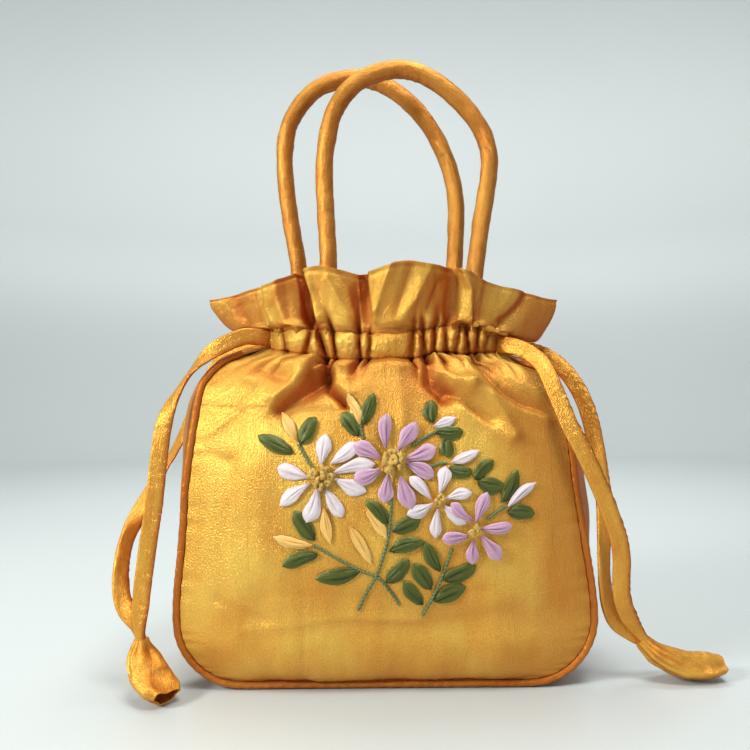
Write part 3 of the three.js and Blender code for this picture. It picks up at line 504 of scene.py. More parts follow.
@dataclass(frozen=True)
class Ribbon:
    """Narrow satin ribbon, with painted shade in its creases and another tint along its edges."""

    name: str
    middle: tuple[float, float, float]
    # The colour of painted shade in creases.
    crease: tuple[float, float, float]
    edge: tuple[float, float, float]
    roughness: float = 0.4
    metallic: float = 0.0
    vein_depth: float = 0.00022
    thread_depth: float = 0.00014
    crossing_depth: float = 0.00012
    threads: tuple[float, float, float] = (3200.0, 320.0, 1.0)
    crossings: tuple[float, float, float] = (700.0, 2600.0, 1.0)
    veins: tuple[float, float, float] = (620.0, 150.0, 1.0)

    def material(self) -> bpy.types.Material:
        """Builds the ribbon: lengthwise threads over a middle colour, a crease colour of painted shade
        and an edge colour.
        """
        board = NodeBoard(self.name)
        threads = board.grain(board.stretched(self.threads), 2.0)
        # The crease attribute paints shade in creases.
        crease = board.add("Attribute", attribute_name="crease")
        edge = board.add("Attribute", attribute_name="edge")
        first = board.blend(crease.outputs["Fac"], self.middle, self.crease)
        second = board.blend(edge.outputs["Fac"], first, self.edge)
        shine = board.spanned(threads, 0.3, 0.7, 0.8, 1.08)
        value = board.add("HueSaturation", {"Color": second, "Value": shine})
        crossing = board.grain(board.stretched(self.crossings), 2.0)
        lines = board.relief(crossing, self.crossing_depth, board.relief(threads, self.thread_depth))
        veins = board.grain(board.stretched(self.veins), 3.0, 0.8)
        board.fill(board.shader, {
            "Base Color": value.outputs["Color"], "Normal": board.relief(veins, self.vein_depth, lines),
            "Roughness": self.roughness, "Metallic": self.metallic,
            "Anisotropic": 0.3, "Sheen Weight": 0.02,
        })
        return board.material


@dataclass(frozen=True)
class Lamp:
    """One square soft light that looks at a point."""

    name: str
    at: tuple[float, float, float]
    aim: tuple[float, float, float]
    size: float
    power: float
    colour: tuple[float, float, float]

    def build(self) -> None:
        """Adds the light."""
        light = bpy.data.lights.new(self.name, "AREA")
        light.shape = "SQUARE"
        light.size = self.size
        light.energy = self.power
        light.color = self.colour
        lamp = bpy.data.objects.new(self.name, light)
        lamp.location = self.at
        towards = Vector(self.aim) - Vector(self.at)
        lamp.rotation_euler = towards.to_track_quat("-Z", "Y").to_euler()
        bpy.context.scene.collection.objects.link(lamp)


@dataclass(frozen=True)
class Studio:
    """The pale floor with its curved backdrop, and the soft lights."""

    reach: float = 1.5
    bend: float = 0.7
    rise: float = 1.3
    tone: tuple[float, float, float] = (0.545, 0.59, 0.58)
    sky_tone: tuple[float, float, float] = (0.93, 0.96, 1.0)
    sky_strength: float = 0.3
    lamps: tuple[Lamp, ...] = (
        Lamp("window", (-0.85, -0.58, 0.60), BAG_MIDDLE, 0.26, 10.5, (1.0, 0.99, 0.96)),
        Lamp("sky", (0.15, -0.40, 1.15), BAG_MIDDLE, 0.45, 8.2, (1.0, 1.0, 1.0)),
        Lamp("fill", (0.8, -0.8, 0.25), BAG_MIDDLE, 0.4, 1.0, (1.0, 0.95, 0.9)),
        Lamp("wall_light", (0.0, 0.45, 1.5), (0.0, 1.9, 0.25), 1.0, 25.0, (1.0, 1.0, 1.0)),
    )

    def backdrop(self) -> None:
        """Adds the round floor, which curves up into a low wall all round the bag."""
        turn = np.linspace(0.0, math.pi / 2, 20)
        out = np.concatenate([[0.001, 0.5 * self.reach], self.reach + self.bend * np.sin(turn)])
        high = np.concatenate([[0.0, 0.0], self.bend * (1.0 - np.cos(turn))])
        out, high = np.append(out, out[-1])[:, None], np.append(high, self.bend + self.rise)[:, None]
        around = turns(120)
        points = np.broadcast_arrays(out * np.cos(around), -out * np.sin(around), high)
        floor = ClothGrid("backdrop", np.stack(points, axis=-1), is_ring=True).make()
        board = NodeBoard("pale_backdrop")
        cloud = board.grain(board.stretched((1.5, 1.5, 1.5), "Object"), 2.0)
        darker = tuple(0.97 * value for value in self.tone)
        tone = board.ramp(cloud, [(0.35, darker), (0.65, self.tone)])
        board.fill(board.shader, {"Base Color": tone, "Roughness": 0.4})
        floor.data.materials.append(board.material)
        floor.data.shade_smooth()

    def build(self) -> None:
        """Adds the backdrop, the lights and the pale surroundings."""
        self.backdrop()
        for lamp in self.lamps:
            lamp.build()
        world = bpy.data.worlds.new("surroundings")
        world.use_nodes = True
        background = world.node_tree.nodes["Background"].inputs
        background["Color"].default_value = (*self.sky_tone, 1.0)
        background["Strength"].default_value = self.sky_strength
        bpy.context.scene.world = world
        bpy.context.scene.view_settings.view_transform = "Standard"


@dataclass(frozen=True)
class PhotoCamera:
    """The camera, a hand's height over the floor and close to the bag."""

    at: tuple[float, float, float] = (0.0049, -0.4173, 0.1491)
    roll_degrees: float = -0.5
    focal_share: float = 0.988
    sensor: float = 36.0
    shift: tuple[float, float] = (-0.024, 0.032)

    def build(self) -> None:
        """Adds the camera and makes it the scene's own."""
        lens = bpy.data.cameras.new("camera")
        lens.sensor_width = self.sensor
        lens.lens = self.focal_share * self.sensor
        lens.shift_x, lens.shift_y = self.shift
        camera = bpy.data.objects.new("camera", lens)
        camera.location = self.at
        camera.rotation_euler = (math.pi / 2, math.radians(-self.roll_degrees), 0.0)
        bpy.context.scene.collection.objects.link(camera)
        bpy.context.scene.camera = camera


@dataclass(frozen=True)
class SideRow:
    """One height of the side seams, as shares of the neck height, half width and half base.

    mid is the row's height at the middle of a panel. deep is the seam's depth, and belly and
    back say how far the front and the back stand out from it. square says how square the panel
    is across. left and right give the row's height, half width and gusset puff on each side.
    """

    mid: float
    deep: float
    belly: float
    back: float
    square: float
    left: tuple[float, float, float]
    right: tuple[float, float, float]


@dataclass(frozen=True)
class Pleat:
    """One gather at the channel: its place across, depth, width, lean, and reach both ways."""

    at: float
    depth: float
    width: float
    lean: float = 0.0
    below: float = 0.014
    above: float = 0.012


PLEAT_SIZES = ("at", "depth", "width", "lean", "below", "above")


@dataclass(frozen=True)
class Fold:
    """One ridge, or valley if its height is below 0, along points (x, z) on the front."""

    points: tuple[tuple[float, float], ...]
    width: float
    height: float
    steep: float = 1.0

    def over(self, x: Array, z: Array) -> Array:
        """Returns the fold's height at places on the front; steep narrows its upper right side."""
        nearest = np.full(x.shape, np.inf)
        sign = np.ones(x.shape)
        for (x0, z0), (x1, z1) in zip(self.points[:-1], self.points[1:]):
            dx, dz = x1 - x0, z1 - z0
            share = np.clip(((x - x0) * dx + (z - z0) * dz) / (dx * dx + dz * dz), 0.0, 1.0)
            away_x, away_z = x - x0 - share * dx, z - z0 - share * dz
            away = np.hypot(away_x, away_z)
            closer = away < nearest
            nearest = np.where(closer, away, nearest)
            sign = np.where(closer, np.sign(away_x * dz - away_z * dx), sign)
        width = np.where(sign > 0, self.width * self.steep, self.width)
        return self.height * np.exp(-((nearest / width) ** 1.5))


def folds_from(*rows: tuple[float, ...]) -> tuple[Fold, ...]:
    """Makes folds from short rows.

    Args:
        rows: each fold's width, height and steepness, and then x and z of each of its points.
            Steepness is in tenths, and the rest is in tenths of a millimetre.

    Returns:
        The folds, in metres.
    """
    tenths, per_metre = 10, 10000
    made = []
    for width, height, steep, *places in rows:
        points = tuple((x / per_metre, z / per_metre) for x, z in zip(places[::2], places[1::2]))
        made.append(Fold(points, width / per_metre, height / per_metre, steep / tenths))
    return tuple(made)


@dataclass
class BagShape:
    """The sizes and the smooth shape that the bag's cloth pieces share."""

    bag_width: float = 0.220
    base_depth: float = 0.070
    corner_radius: float = 0.036
    neck_height: float = 0.172
    neck_width: float = 0.132
    neck_depth: float = 0.052
    wall: float = 0.0014
    piping_radius: float = 0.002
    gap: float = 0.0003
    channel_height: float = 0.014
    channel_swell: float = 0.0024
    seam_neck_depth: float = 0.008
    neck_rise: tuple[float, float] = (0.006, 0.0022)
    corner_steps: int = 5
    stitch_rows: tuple[tuple[float, float, float], ...] = (
        (-1.0, 0.0, 0.0), (-0.8, 0.0010, 0.0), (-0.6, 0.0, 0.0006), (-0.45, -0.0016, 0.0002),
        (-0.3, -0.0020, -0.0018), (-0.12, -0.0018, -0.0020), (0.05, -0.0008, -0.0008),
        (0.25, -0.0012, 0.0), (0.4, 0.0014, 0.0004), (0.5, 0.0018, 0.0014), (0.65, 0.0004, 0.0018),
        (0.8, 0.0012, 0.0008), (0.92, 0.0010, 0.0), (1.0, 0.0, 0.0),
    )
    side_rows: tuple[SideRow, ...] = (
        SideRow(0.211, 0.985, 0.33, 0.44, 4.0, (0.211, 1.0, 0.04), (0.211, 1.0, 0.04)),
        SideRow(0.3, 0.97, 0.39, 0.52, 4.0, (0.3, 0.996, 0.06), (0.3, 0.99, 0.09)),
        SideRow(0.395, 0.945, 0.43, 0.57, 3.8, (0.395, 0.982, 0.17), (0.395, 0.97, 0.22)),
        SideRow(0.5, 0.915, 0.44, 0.58, 3.6, (0.5, 0.97, 0.23), (0.5, 0.948, 0.3)),
        SideRow(0.605, 0.885, 0.43, 0.54, 3.4, (0.605, 0.962, 0.23), (0.605, 0.925, 0.29)),
        SideRow(0.698, 0.845, 0.4, 0.48, 3.2, (0.7, 0.945, 0.27), (0.698, 0.912, 0.29)),
        SideRow(0.779, 0.8, 0.37, 0.42, 3.0, (0.782, 0.928, 0.3), (0.777, 0.897, 0.29)),
        SideRow(0.848, 0.74, 0.34, 0.38, 3.0, (0.857, 0.912, 0.28), (0.84, 0.872, 0.26)),
        SideRow(0.901, 0.67, 0.33, 0.36, 2.9, (0.913, 0.895, 0.22), (0.89, 0.845, 0.22)),
        SideRow(0.942, 0.57, 0.34, 0.36, 2.9, (0.956, 0.855, 0.17), (0.93, 0.815, 0.17)),
        SideRow(0.97, 0.46, 0.39, 0.4, 3.0, (0.991, 0.8, 0.12), (0.962, 0.775, 0.12)),
        SideRow(0.988, 0.34, 0.46, 0.47, 3.2, (1.017, 0.715, 0.07), (0.983, 0.705, 0.07)),
    )
    front_pleats: tuple[Pleat, ...] = (
        Pleat(-0.92, 0.0010, 0.0014, -0.001, 0.006, 0.006),
        Pleat(-0.80, 0.0020, 0.0015, -0.0015, 0.010, 0.008),
        Pleat(-0.60, 0.0026, 0.0014, 0.0030, 0.008, 0.010),
        Pleat(-0.49, 0.0052, 0.0018, -0.0045, 0.022, 0.020),
        Pleat(-0.39, 0.0034, 0.0012, -0.0020, 0.012, 0.008),
        Pleat(-0.188, 0.0042, 0.0013, -0.0006, 0.012, 0.026),
        Pleat(-0.11, 0.0022, 0.0011, 0.0010, 0.008, 0.005),
        Pleat(0.235, 0.0026, 0.0013, 0.0014, 0.010, 0.007),
        Pleat(0.322, 0.0038, 0.0017, -0.0010, 0.024, 0.006),
        Pleat(0.41, 0.0040, 0.0013, 0.0008, 0.010, 0.014),
        Pleat(0.50, 0.0034, 0.0014, -0.0008, 0.009, 0.012),
        Pleat(0.60, 0.0020, 0.0012, 0.0026, 0.008, 0.008),
        Pleat(0.675, 0.0040, 0.0014, -0.0012, 0.012, 0.011),
        Pleat(0.76, 0.0036, 0.0012, 0.0010, 0.010, 0.009),
        Pleat(0.85, 0.0024, 0.0012, 0.0018, 0.009, 0.007),
        Pleat(0.935, 0.0016, 0.0014, 0.0010, 0.007, 0.006),
    )
    front_folds: tuple[Fold, ...] = folds_from(
        (52, 58, 9, -333, 1716, -427, 1619, -554, 1496),
        (52, -74, 10, -300, 1640, -400, 1545, -532, 1440),
        (30, -67, 7, -300, 1700, -284, 1563, -193, 1466),
        (34, 26, 10, -255, 1680, -240, 1590, -180, 1520),
        (34, 29, 10, -532, 1690, -471, 1675, -398, 1670),
        (48, -42, 10, -767, 1700, -639, 1655, -510, 1601),
        (36, 26, 10, -860, 1660, -730, 1720),
        (26, 14, 8, -862, 1500, -709, 1604),
        (22, 13, 8, -893, 1323, -749, 1435),
        (24, -10, 8, -800, 1430, -660, 1540),
        (30, -10, 10, -900, 1210, -800, 1180),
        (34, 58, 9, 263, 1705, 291, 1635, 366, 1578, 455, 1552),
        (44, 46, 8, 455, 1552, 539, 1496, 613, 1400, 667, 1300),
        (38, 14, 9, 287, 1521, 387, 1451, 466, 1391, 640, 1290),
        (40, -54, 8, 232, 1695, 238, 1588, 312, 1496),
        (30, -29, 10, 330, 1530, 430, 1480, 560, 1380),
        (50, -51, 4.5, 485, 1685, 612, 1530, 731, 1455, 888, 1409),
        (50, 32, 8, 430, 1660, 560, 1500, 690, 1425, 850, 1370),
        (50, 29, 10, 610, 1610, 720, 1560),
        (40, 26, 10, 860, 1500, 900, 1440),
        (115, 18, 10, -668, 1135, -620, 690),
        (110, 8, 10, -470, 640, -440, 172),
        (14, -2, 10, -416, 636, -402, 400, -414, 111),
        (85, -12, 10, -324, 378, 160, 352, 648, 413),
        (55, 12, 10, -880, 1250, -940, 600, -900, 250),
        (45, -10, 10, -790, 1180, -840, 500),
        (42, 10, 10, -720, 330, -200, 400, 150, 385),
        (70, -10, 10, -600, 520, -100, 500, 500, 530),
        (30, -8, 10, -850, 480, -600, 380),
        (60, 16, 10, -150, 1560, -80, 1300),
        (50, 14, 10, 80, 1640, 100, 1380),
    )

    def __post_init__(self) -> None:
        """Works out the sizes that follow, and the seams' rows on both sides."""
        self.half_width = self.bag_width / 2 - self.piping_radius
        self.half_base = self.base_depth / 2
        self.neck_half = self.neck_width / 2
        self.seam_height = self.piping_radius + self.gap
        self.seam_inset = self.piping_radius + 0.5 * self.gap
        self.channel_top = self.neck_height + self.channel_height
        self.rows = {side: self.seam_rows(side) for side in Side}
        self.last = len(self.rows[Side.LEFT]["mid"]) - 1
        self.back_pleats = self.plain_pleats()

    def plain_pleats(self) -> tuple[Pleat, ...]:
        """Returns the back's gathers: a full row of them, unevenly deep."""
        count = 17
        pleats = []
        for i in range(count):
            swing = math.sin(2.4 * i) * 0.018
            depth = 0.0022 + 0.0012 * math.sin(1.7 * i + 0.6)
            at = -0.92 + 1.84 * (i + 0.5) / count + swing
            pleats.append(Pleat(at, depth, 0.0017, 0.0016 * math.sin(3.1 * i), 0.013, 0.013))
        return tuple(pleats)

    def seam_rows(self, side: Side) -> dict[str, Array]:
        """Returns one side's seam rows by column, from the round corner's foot to the neck."""
        first = self.side_rows[0]
        corner = self.corner_radius - self.piping_radius
        top = self.seam_height + corner
        rows = []
        for i in range(self.corner_steps):
            turn = (i / self.corner_steps) * (math.pi / 2)
            z = self.seam_height + corner * (1 - math.cos(turn))
            x = self.half_width - corner + corner * math.sin(turn)
            swell = self.half_base * math.sin(turn)
            swells = (first.belly * swell, first.back * swell)
            puff = self.seam_height - self.wall / 2
            rows.append((x, z, z, self.half_base, *swells, puff, 1.0, first.square))
        for row in self.side_rows:
            share_z, share_x, share_puff = row.left if side is Side.LEFT else row.right
            is_first = row is first
            z = top if is_first else self.neck_height * share_z
            mid = top if is_first else self.neck_height * row.mid
            half = self.half_base
            sizes = (half * row.deep, half * row.belly, half * row.back, half * share_puff)
            rows.append((self.half_width * share_x, z, mid, *sizes, 0.0, row.square))
        rise = self.neck_rise[0] if side is Side.LEFT else self.neck_rise[1]
        out = self.neck_depth / 2 - self.seam_neck_depth
        neck = (self.neck_half, self.neck_height + rise, self.neck_height)
        rows.append((*neck, self.seam_neck_depth, out, out, 0.0, 0.0, 3.4))
        names = ("x", "z", "mid", "deep", "belly", "back", "puff", "flat", "square")
        return dict(zip(names, np.array(rows).T))

    def seam(self, side: Side, at: Array) -> dict[str, Array]:
        """Returns one side's seam at places counted in rows, with its inward direction."""
        rows = self.rows[side]
        seam = {name: along_rows(values, at) for name, values in rows.items()}
        seam["flat"] = np.clip(seam["flat"], 0.0, 1.0)
        step = 0.02
        low, high = np.maximum(at - step, 0.0), np.minimum(at + step, self.last)
        dx = along_rows(rows["x"], high) - along_rows(rows["x"], low)
        dz = along_rows(rows["z"], high) - along_rows(rows["z"], low)
        length = np.hypot(dx, dz)
        seam["in_x"], seam["in_z"] = -dz / length, dx / length
        return seam

    def gathers(self, pleats: tuple[Pleat, ...], across: Array, levels: Array) -> tuple[Array, Array]:
        """Works out the drawn-up cloth: rounded lobes between sharp, leaning valleys.

        Args:
            pleats: the valleys.
            across: places from -1 to 1.
            levels: one height for each row.

        Returns:
            How far each place stands out, and how deep in a valley it lies, from 0 to 1.
        """
        order = np.argsort([pleat.at for pleat in pleats])
        rows = np.array([[getattr(pleats[i], name) for name in PLEAT_SIZES] for i in order])
        at, depth, width, lean, reach_down, reach_up = rows.T
        height = np.zeros((len(levels), len(across)))
        valley = np.zeros_like(height)
        for row, level in enumerate(np.ravel(levels)):
            up = np.clip((level - self.neck_height) / self.channel_height, -1.0, 2.0) - 0.5
            below = min(level - self.neck_height, 0.0)
            above = max(level - self.channel_top, 0.0)
            fade = np.exp(-((below / reach_down) ** 2) - (above / reach_up) ** 2)
            line = np.concatenate([[-1.03], at + lean * up / self.neck_half, [1.03]])
            line = np.maximum.accumulate(line + 1e-4 * np.arange(len(line)))
            wide = 1.0 + 0.8 * abs(below) / 0.01 + 0.8 * above / 0.01
            cell = np.clip(np.searchsorted(line, across), 1, len(line) - 1)
            size = (line[cell] - line[cell - 1]) * self.neck_half
            share = np.clip((across - line[cell - 1]) / (line[cell] - line[cell - 1]), 0.0, 1.0)
            plump = math.exp(-((below / 0.008) ** 2) - (above / 0.007) ** 2)
            height[row] = np.minimum(0.34 * size, 0.0026) * np.sin(math.pi * share) ** 0.75 * plump
            for k, drop in enumerate(depth * fade):
                off = np.abs(across - line[k + 1]) * self.neck_half / (width[k] * wide)
                notch = drop * np.exp(-(off**1.4))
                height[row] -= notch
                valley[row] += notch / 0.0035
        return height, np.clip(valley, 0.0, 1.0)

    def pinch(self, z: Array) -> Array:
        """Returns how far the channel's two rows of stitches draw the cloth in, by height."""
        low = bell(z - self.neck_height, 0.0024)
        high = bell(z - self.channel_top, 0.0024)
        return 0.0010 * (low + high)

    def wander(self, across: Array, z: Array) -> Array:
        """Returns how far up the two rows of stitches wander at places on the front."""
        keys = [row[0] for row in self.stitch_rows]
        low = between(keys, [row[1] for row in self.stitch_rows], across)
        high = between(keys, [row[2] for row in self.stitch_rows], across)
        near_low = bell(np.minimum(z - self.neck_height, 0.0), 0.014)
        near_high = bell(np.maximum(z - self.channel_top, 0.0), 0.012)
        share = np.clip((z - self.neck_height) / self.channel_height, 0.0, 1.0)
        return (low * (1.0 - share) + high * share) * near_low * near_high

    def scallop(self, drawn: Array, z: Array) -> Array:
        """Returns how far the plump lobes push the rows of stitches down and up."""
        lobe = np.clip(drawn / 0.0022, 0.0, 1.0)
        return 0.0013 * lobe * (bell(z - self.channel_top, 0.004) - bell(z - self.neck_height, 0.004))

    def stitch_shift(self, across: Array, drawn: Array, z: Array) -> Array:
        """Returns how far up the front's rows of stitches lie from their level lines."""
        return self.wander(across[None, :], z) + self.scallop(drawn, z)

    def panel(self, at: Array, across: Array, face: Face) -> Array:
        """Returns points of a panel's outer face, before its folds.

        Args:
            at: rows' places, counted in seam rows.
            across: places from -1 at the left edge to 1 at the right one.
            face: the front or the back.

        Returns:
            A grid of points, a row for each place in at.
        """
        left, right = self.seam(Side.LEFT, at), self.seam(Side.RIGHT, at)
        pick = across[None, :] < 0
        seam = {k: np.where(pick, left[k][:, None], right[k][:, None]) for k in left}
        size = np.abs(across)[None, :]
        inset = self.seam_inset * ease(self.last - at, 0.0, 0.6)[:, None]
        edge_x = seam["x"] + seam["in_x"] * inset
        edge_z = seam["z"] + seam["in_z"] * inset
        middle = seam["mid"] + np.maximum(seam["in_z"], 0.0) * inset
        z = middle + (edge_z - middle) * size**3
        belly = seam["belly"] if face is Face.FRONT else seam["back"]
        swell = belly * (1.0 - size ** seam["square"])
        depth = seam["deep"] + self.wall / 2 + swell
        return np.stack([across[None, :] * edge_x, face.value * depth, z], axis=-1)

    def neck_depth_at(self, across: Array) -> Array:
        """Returns half the neck's depth at shares across."""
        return self.neck_depth / 2 * np.sqrt(np.maximum(1.0 - np.abs(across) ** 3, 0.0))


@dataclass
class PouchBody:
    """The bag itself: front, back, gusset and the piping between them."""

    shape: BagShape
    satin: bpy.types.Material
    piping_satin: bpy.types.Material
    front_grid: tuple[int, int] = (176, 196)
    back_grid: tuple[int, int] = (130, 170)
    gusset_grid: tuple[int, int] = (130, 52)
    bottom_rows: int = 60
    piping_steps: int = 620
    front_creases: Dents = Dents(0.020, stretch=(1.0, 1.0, 0.7))
    front_hollows: Dents = Dents(0.034, 0.0014, 2, (1.0, 1.0, 0.35), 0.7)
    front_streaks: Dents = Dents(0.013, 0.0005, 2, (1.0, 1.0, 0.28), 0.3)
    back_creases: Dents = Dents(0.024, stretch=(1.4, 1.0, 0.6))
    gusset_hollows: Dents = Dents(0.022, 0.0011, stretch=(1.0, 1.3, 0.45))

    def places(self, face: Face, grid: tuple[int, int]) -> tuple[Array, Array, Array, Array]:
        """Works out where a panel's grid lies.

        Args:
            face: the front or the back.
            grid: how many rows and columns it has.

        Returns:
            The rows' places in seam rows, the columns' places across, the rows' heights at the
            middle, and a share that fades to 0 at both side seams.
        """
        rows = self.shape.rows[Side.LEFT]
        swell = rows["belly"] if face is Face.FRONT else rows["back"]
        profile = np.stack([rows["deep"] + swell, rows["mid"], rows["x"] * 0.35], axis=-1)
        at = spread(profile, grid[0])
        across = np.linspace(-1.0, 1.0, grid[1])
        mid = np.interp(at, np.arange(self.shape.last + 1), rows["mid"])[:, None]
        return at, across, mid, 1.0 - np.abs(across)[None, :] ** 6

    def front(self) -> bpy.types.Object:
        """Builds the embroidered front, with its gathers and folds."""
        shape = self.shape
        at, across, mid, edge = self.places(Face.FRONT, self.front_grid)
        cloth = ClothGrid("cloth_front", shape.panel(at, across, Face.FRONT))
        x, z = cloth.points[..., 0], cloth.points[..., 2]
        drawn, valley = shape.gathers(shape.front_pleats, across, mid)
        folds = sum(fold.over(x, z) for fold in shape.front_folds)
        near_top = ease(mid, 0.10, 0.165)
        crumple = self.front_creases.over(cloth.points) * (0.0003 + 0.0004 * near_top)
        crumple += self.front_hollows.over(cloth.points)
        crumple += self.front_streaks.over(cloth.points)
        height = folds * ease(shape.last - at, 0.0, 0.5)[:, None] + crumple + drawn - shape.pinch(mid)
        cloth.push(height * edge + self.seam_puckers(at, across))
        cloth.points[..., 2] += shape.stitch_shift(across, drawn, mid) * edge
        # Painted shade: the panel's right side, a band across its top middle, and the valleys of the
        # gathers and folds.
        turned = 0.30 * ease(x, 0.055, 0.1) * ease(z, 0.0, 0.05)
        turned += 0.46 * bell(x - 0.002, 0.034) * ease(z, 0.118, 0.158)
        cloth.tints["fold"] = 0.75 * np.clip(valley - folds / 0.006, 0.0, 1.0) * edge + turned
        self.front_face = ClothGrid("front_face", cloth.points.copy())
        self.tuck(cloth, Face.FRONT)
        return place_sheet(cloth, self.satin, "front_panel")

    def tuck(self, cloth: ClothGrid, face: Face) -> None:
        """Adds the panel's upper edge, which turns in behind the channel."""
        last = cloth.points[-1]
        extra = []
        for inward, up in ((0.0014, 0.0006), (0.0024, 0.0024), (0.0026, 0.0060)):
            extra.append(last + np.array([0.0, -face.value * inward, up]))
        cloth.points = np.concatenate([cloth.points, np.array(extra)])
        # The tucked-in rows get more painted shade.
        fold = cloth.tints["fold"]
        cloth.tints["fold"] = np.concatenate([fold, np.repeat(fold[-1:], 3, axis=0) + 0.5])

    def seam_puckers(self, at: Array, across: Array) -> Array:
        """Returns the small puckers that the seam draws in, at the panel's edges."""
        near = ease(np.abs(across)[None, :], 0.86, 0.995)
        wave = np.sin(at * 9.0 + 1.5 * np.sin(at * 3.1))[:, None]
        foot = bell(at, 0.9)[:, None] * np.sin(across * 58.0 + 2.0 * np.sin(across * 17.0))[None, :]
        return -0.00016 * near * (0.6 + wave) - 0.00016 * foot

    def back(self) -> bpy.types.Object:
        """Builds the plain back, gathered at the neck."""
        shape = self.shape
        at, across, mid, edge = self.places(Face.BACK, self.back_grid)
        cloth = ClothGrid("cloth_back", shape.panel(at, across, Face.BACK)[:, ::-1])
        drawn, valley = (part[:, ::-1] for part in shape.gathers(shape.back_pleats, across, mid))
        near_top = ease(mid, 0.10, 0.165)
        crumple = self.back_creases.over(cloth.points) * (0.0006 + 0.0022 * near_top)
        cloth.push((crumple + drawn - shape.pinch(mid)) * edge + self.seam_puckers(at, across))
        # Painted shade in the gathers' valleys.
        cloth.tints["fold"] = 0.75 * valley * edge
        self.tuck(cloth, Face.BACK)
        return place_sheet(cloth, self.satin, "back_panel")

    def gusset(self) -> bpy.types.Object:
        """Builds the strip that makes both sides and the flat bottom."""
        count, columns = self.gusset_grid
        places = np.linspace(0.0, 1.0, columns)
        sides = []
        for side in Side:
            profile = np.stack([self.shape.rows[side]["x"], self.shape.rows[side]["z"]], axis=-1)
            sides.append(self.gusset_rows(side, spread(profile, count), places))
        cloth = ClothGrid("cloth_gusset", self.round_bottom(sides, self.bottom_rows))
        x, z = cloth.points[..., 0], cloth.points[..., 2]
        lift = ease(z, 0.012, 0.05)
        crumple = self.gusset_hollows.over(cloth.points)
        hang = -0.0012 * bell(places[None, :] - 0.5 - 0.03 * np.sin(z * 60.0), 0.09) * ease(z, 0.08, 0.16)
        near = ease(np.abs(2.0 * places - 1.0), 0.8, 1.0)[None, :]
        puckers = -0.00025 * near * (0.6 + np.sin((z + 0.4 * x) * 760.0 + 3.0 * np.sin(z * 90.0)))
        cloth.push((crumple + hang + puckers) * lift)
        # Painted shade over the gusset, fading out towards the bottom.
        cloth.tints["fold"] = 0.55 * ease(z, 0.004, 0.05)
        return place_sheet(cloth, self.satin, "gusset")

    @staticmethod
    def round_bottom(sides: list[Array], count: int) -> Array:
        """Returns both sides' rows as one run from the left top to the right top, with count between."""
        left, right = sides[0][::-1], sides[1]
        share = np.linspace(0.0, 1.0, count + 2)[1:-1].reshape(-1, *[1] * left[-1].ndim)
        bottom = left[-1][None] * (1.0 - share) + right[0][None] * share
        return np.concatenate([left, bottom, right])

    def gusset_rows(self, side: Side, at: Array, places: Array) -> Array:
        """Returns one side's rows of gusset points, from the bottom corner up."""
        seam = {name: values[:, None] for name, values in self.shape.seam(side, at).items()}
        half = np.maximum(seam["deep"] - self.shape.seam_inset, self.shape.seam_neck_depth / 2)
        hump = np.sin(math.pi * places)[None, :]
        flat = np.minimum(1.0, hump * 3.2)
        swell = hump + (flat - hump) * seam["flat"]
        out = seam["puff"] * swell + self.shape.wall / 2
        x = side.value * (seam["x"] - seam["in_x"] * out)
        z = seam["z"] - seam["in_z"] * out
        return np.stack([x, (2.0 * places - 1.0)[None, :] * half, np.maximum(z, 0.0)], axis=-1)

    def piping(self, face: Face, name: str, node: str) -> bpy.types.Object:
        """Builds the corded edge along one seam, with its small puckers."""
        shape = self.shape
        sides = []
        for side in Side:
            rows = shape.rows[side]
            line = np.stack([side.value * rows["x"], face.value * rows["deep"], rows["z"]], axis=-1)
            sides.append(line[:-1])
        path = even_path(self.round_bottom(sides, 6), self.piping_steps)
        turn = turns(16)
        step = np.arange(len(path))[:, None]
        twist = turn + 0.5 * np.sin(step * 0.05)
        puckers = 0.96 + 0.05 * np.sin(step * 0.9 + 2.0 * np.sin(step * 0.13) + turn)
        radius = shape.piping_radius * puckers
        tube = Tube(name, path, radius * np.sin(twist), radius * np.cos(twist))
        middle = np.array([0.0, 0.0, 0.09])
        return place(tube.make(path - middle), self.piping_satin, "piping_satin", node)

    def build(self) -> list[bpy.types.Object]:
        """Returns the body's pieces."""
        cloths = [self.front(), self.back(), self.gusset()]
        front = self.piping(Face.FRONT, "piping_front", "front_piping")
        return [*cloths, front, self.piping(Face.BACK, "piping_back", "back_piping")]


def place(
    piece: bpy.types.Object, finish: bpy.types.Material, slot: str, *nodes: str
) -> bpy.types.Object:
    """Gives a piece its finish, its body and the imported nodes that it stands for."""
    piece.data.materials.clear()
    piece.data.materials.append(finish)
    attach(piece, BODY)
    if nodes:
        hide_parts(*nodes)
    LOG.info("%s: %d faces for %s", piece.name, len(piece.data.polygons), ", ".join(nodes))
    return piece


def place_sheet(cloth: ClothGrid, satin: bpy.types.Material, node: str) -> bpy.types.Object:
    piece = place(cloth.sewn(), satin, "gold_satin", node)
    return piece


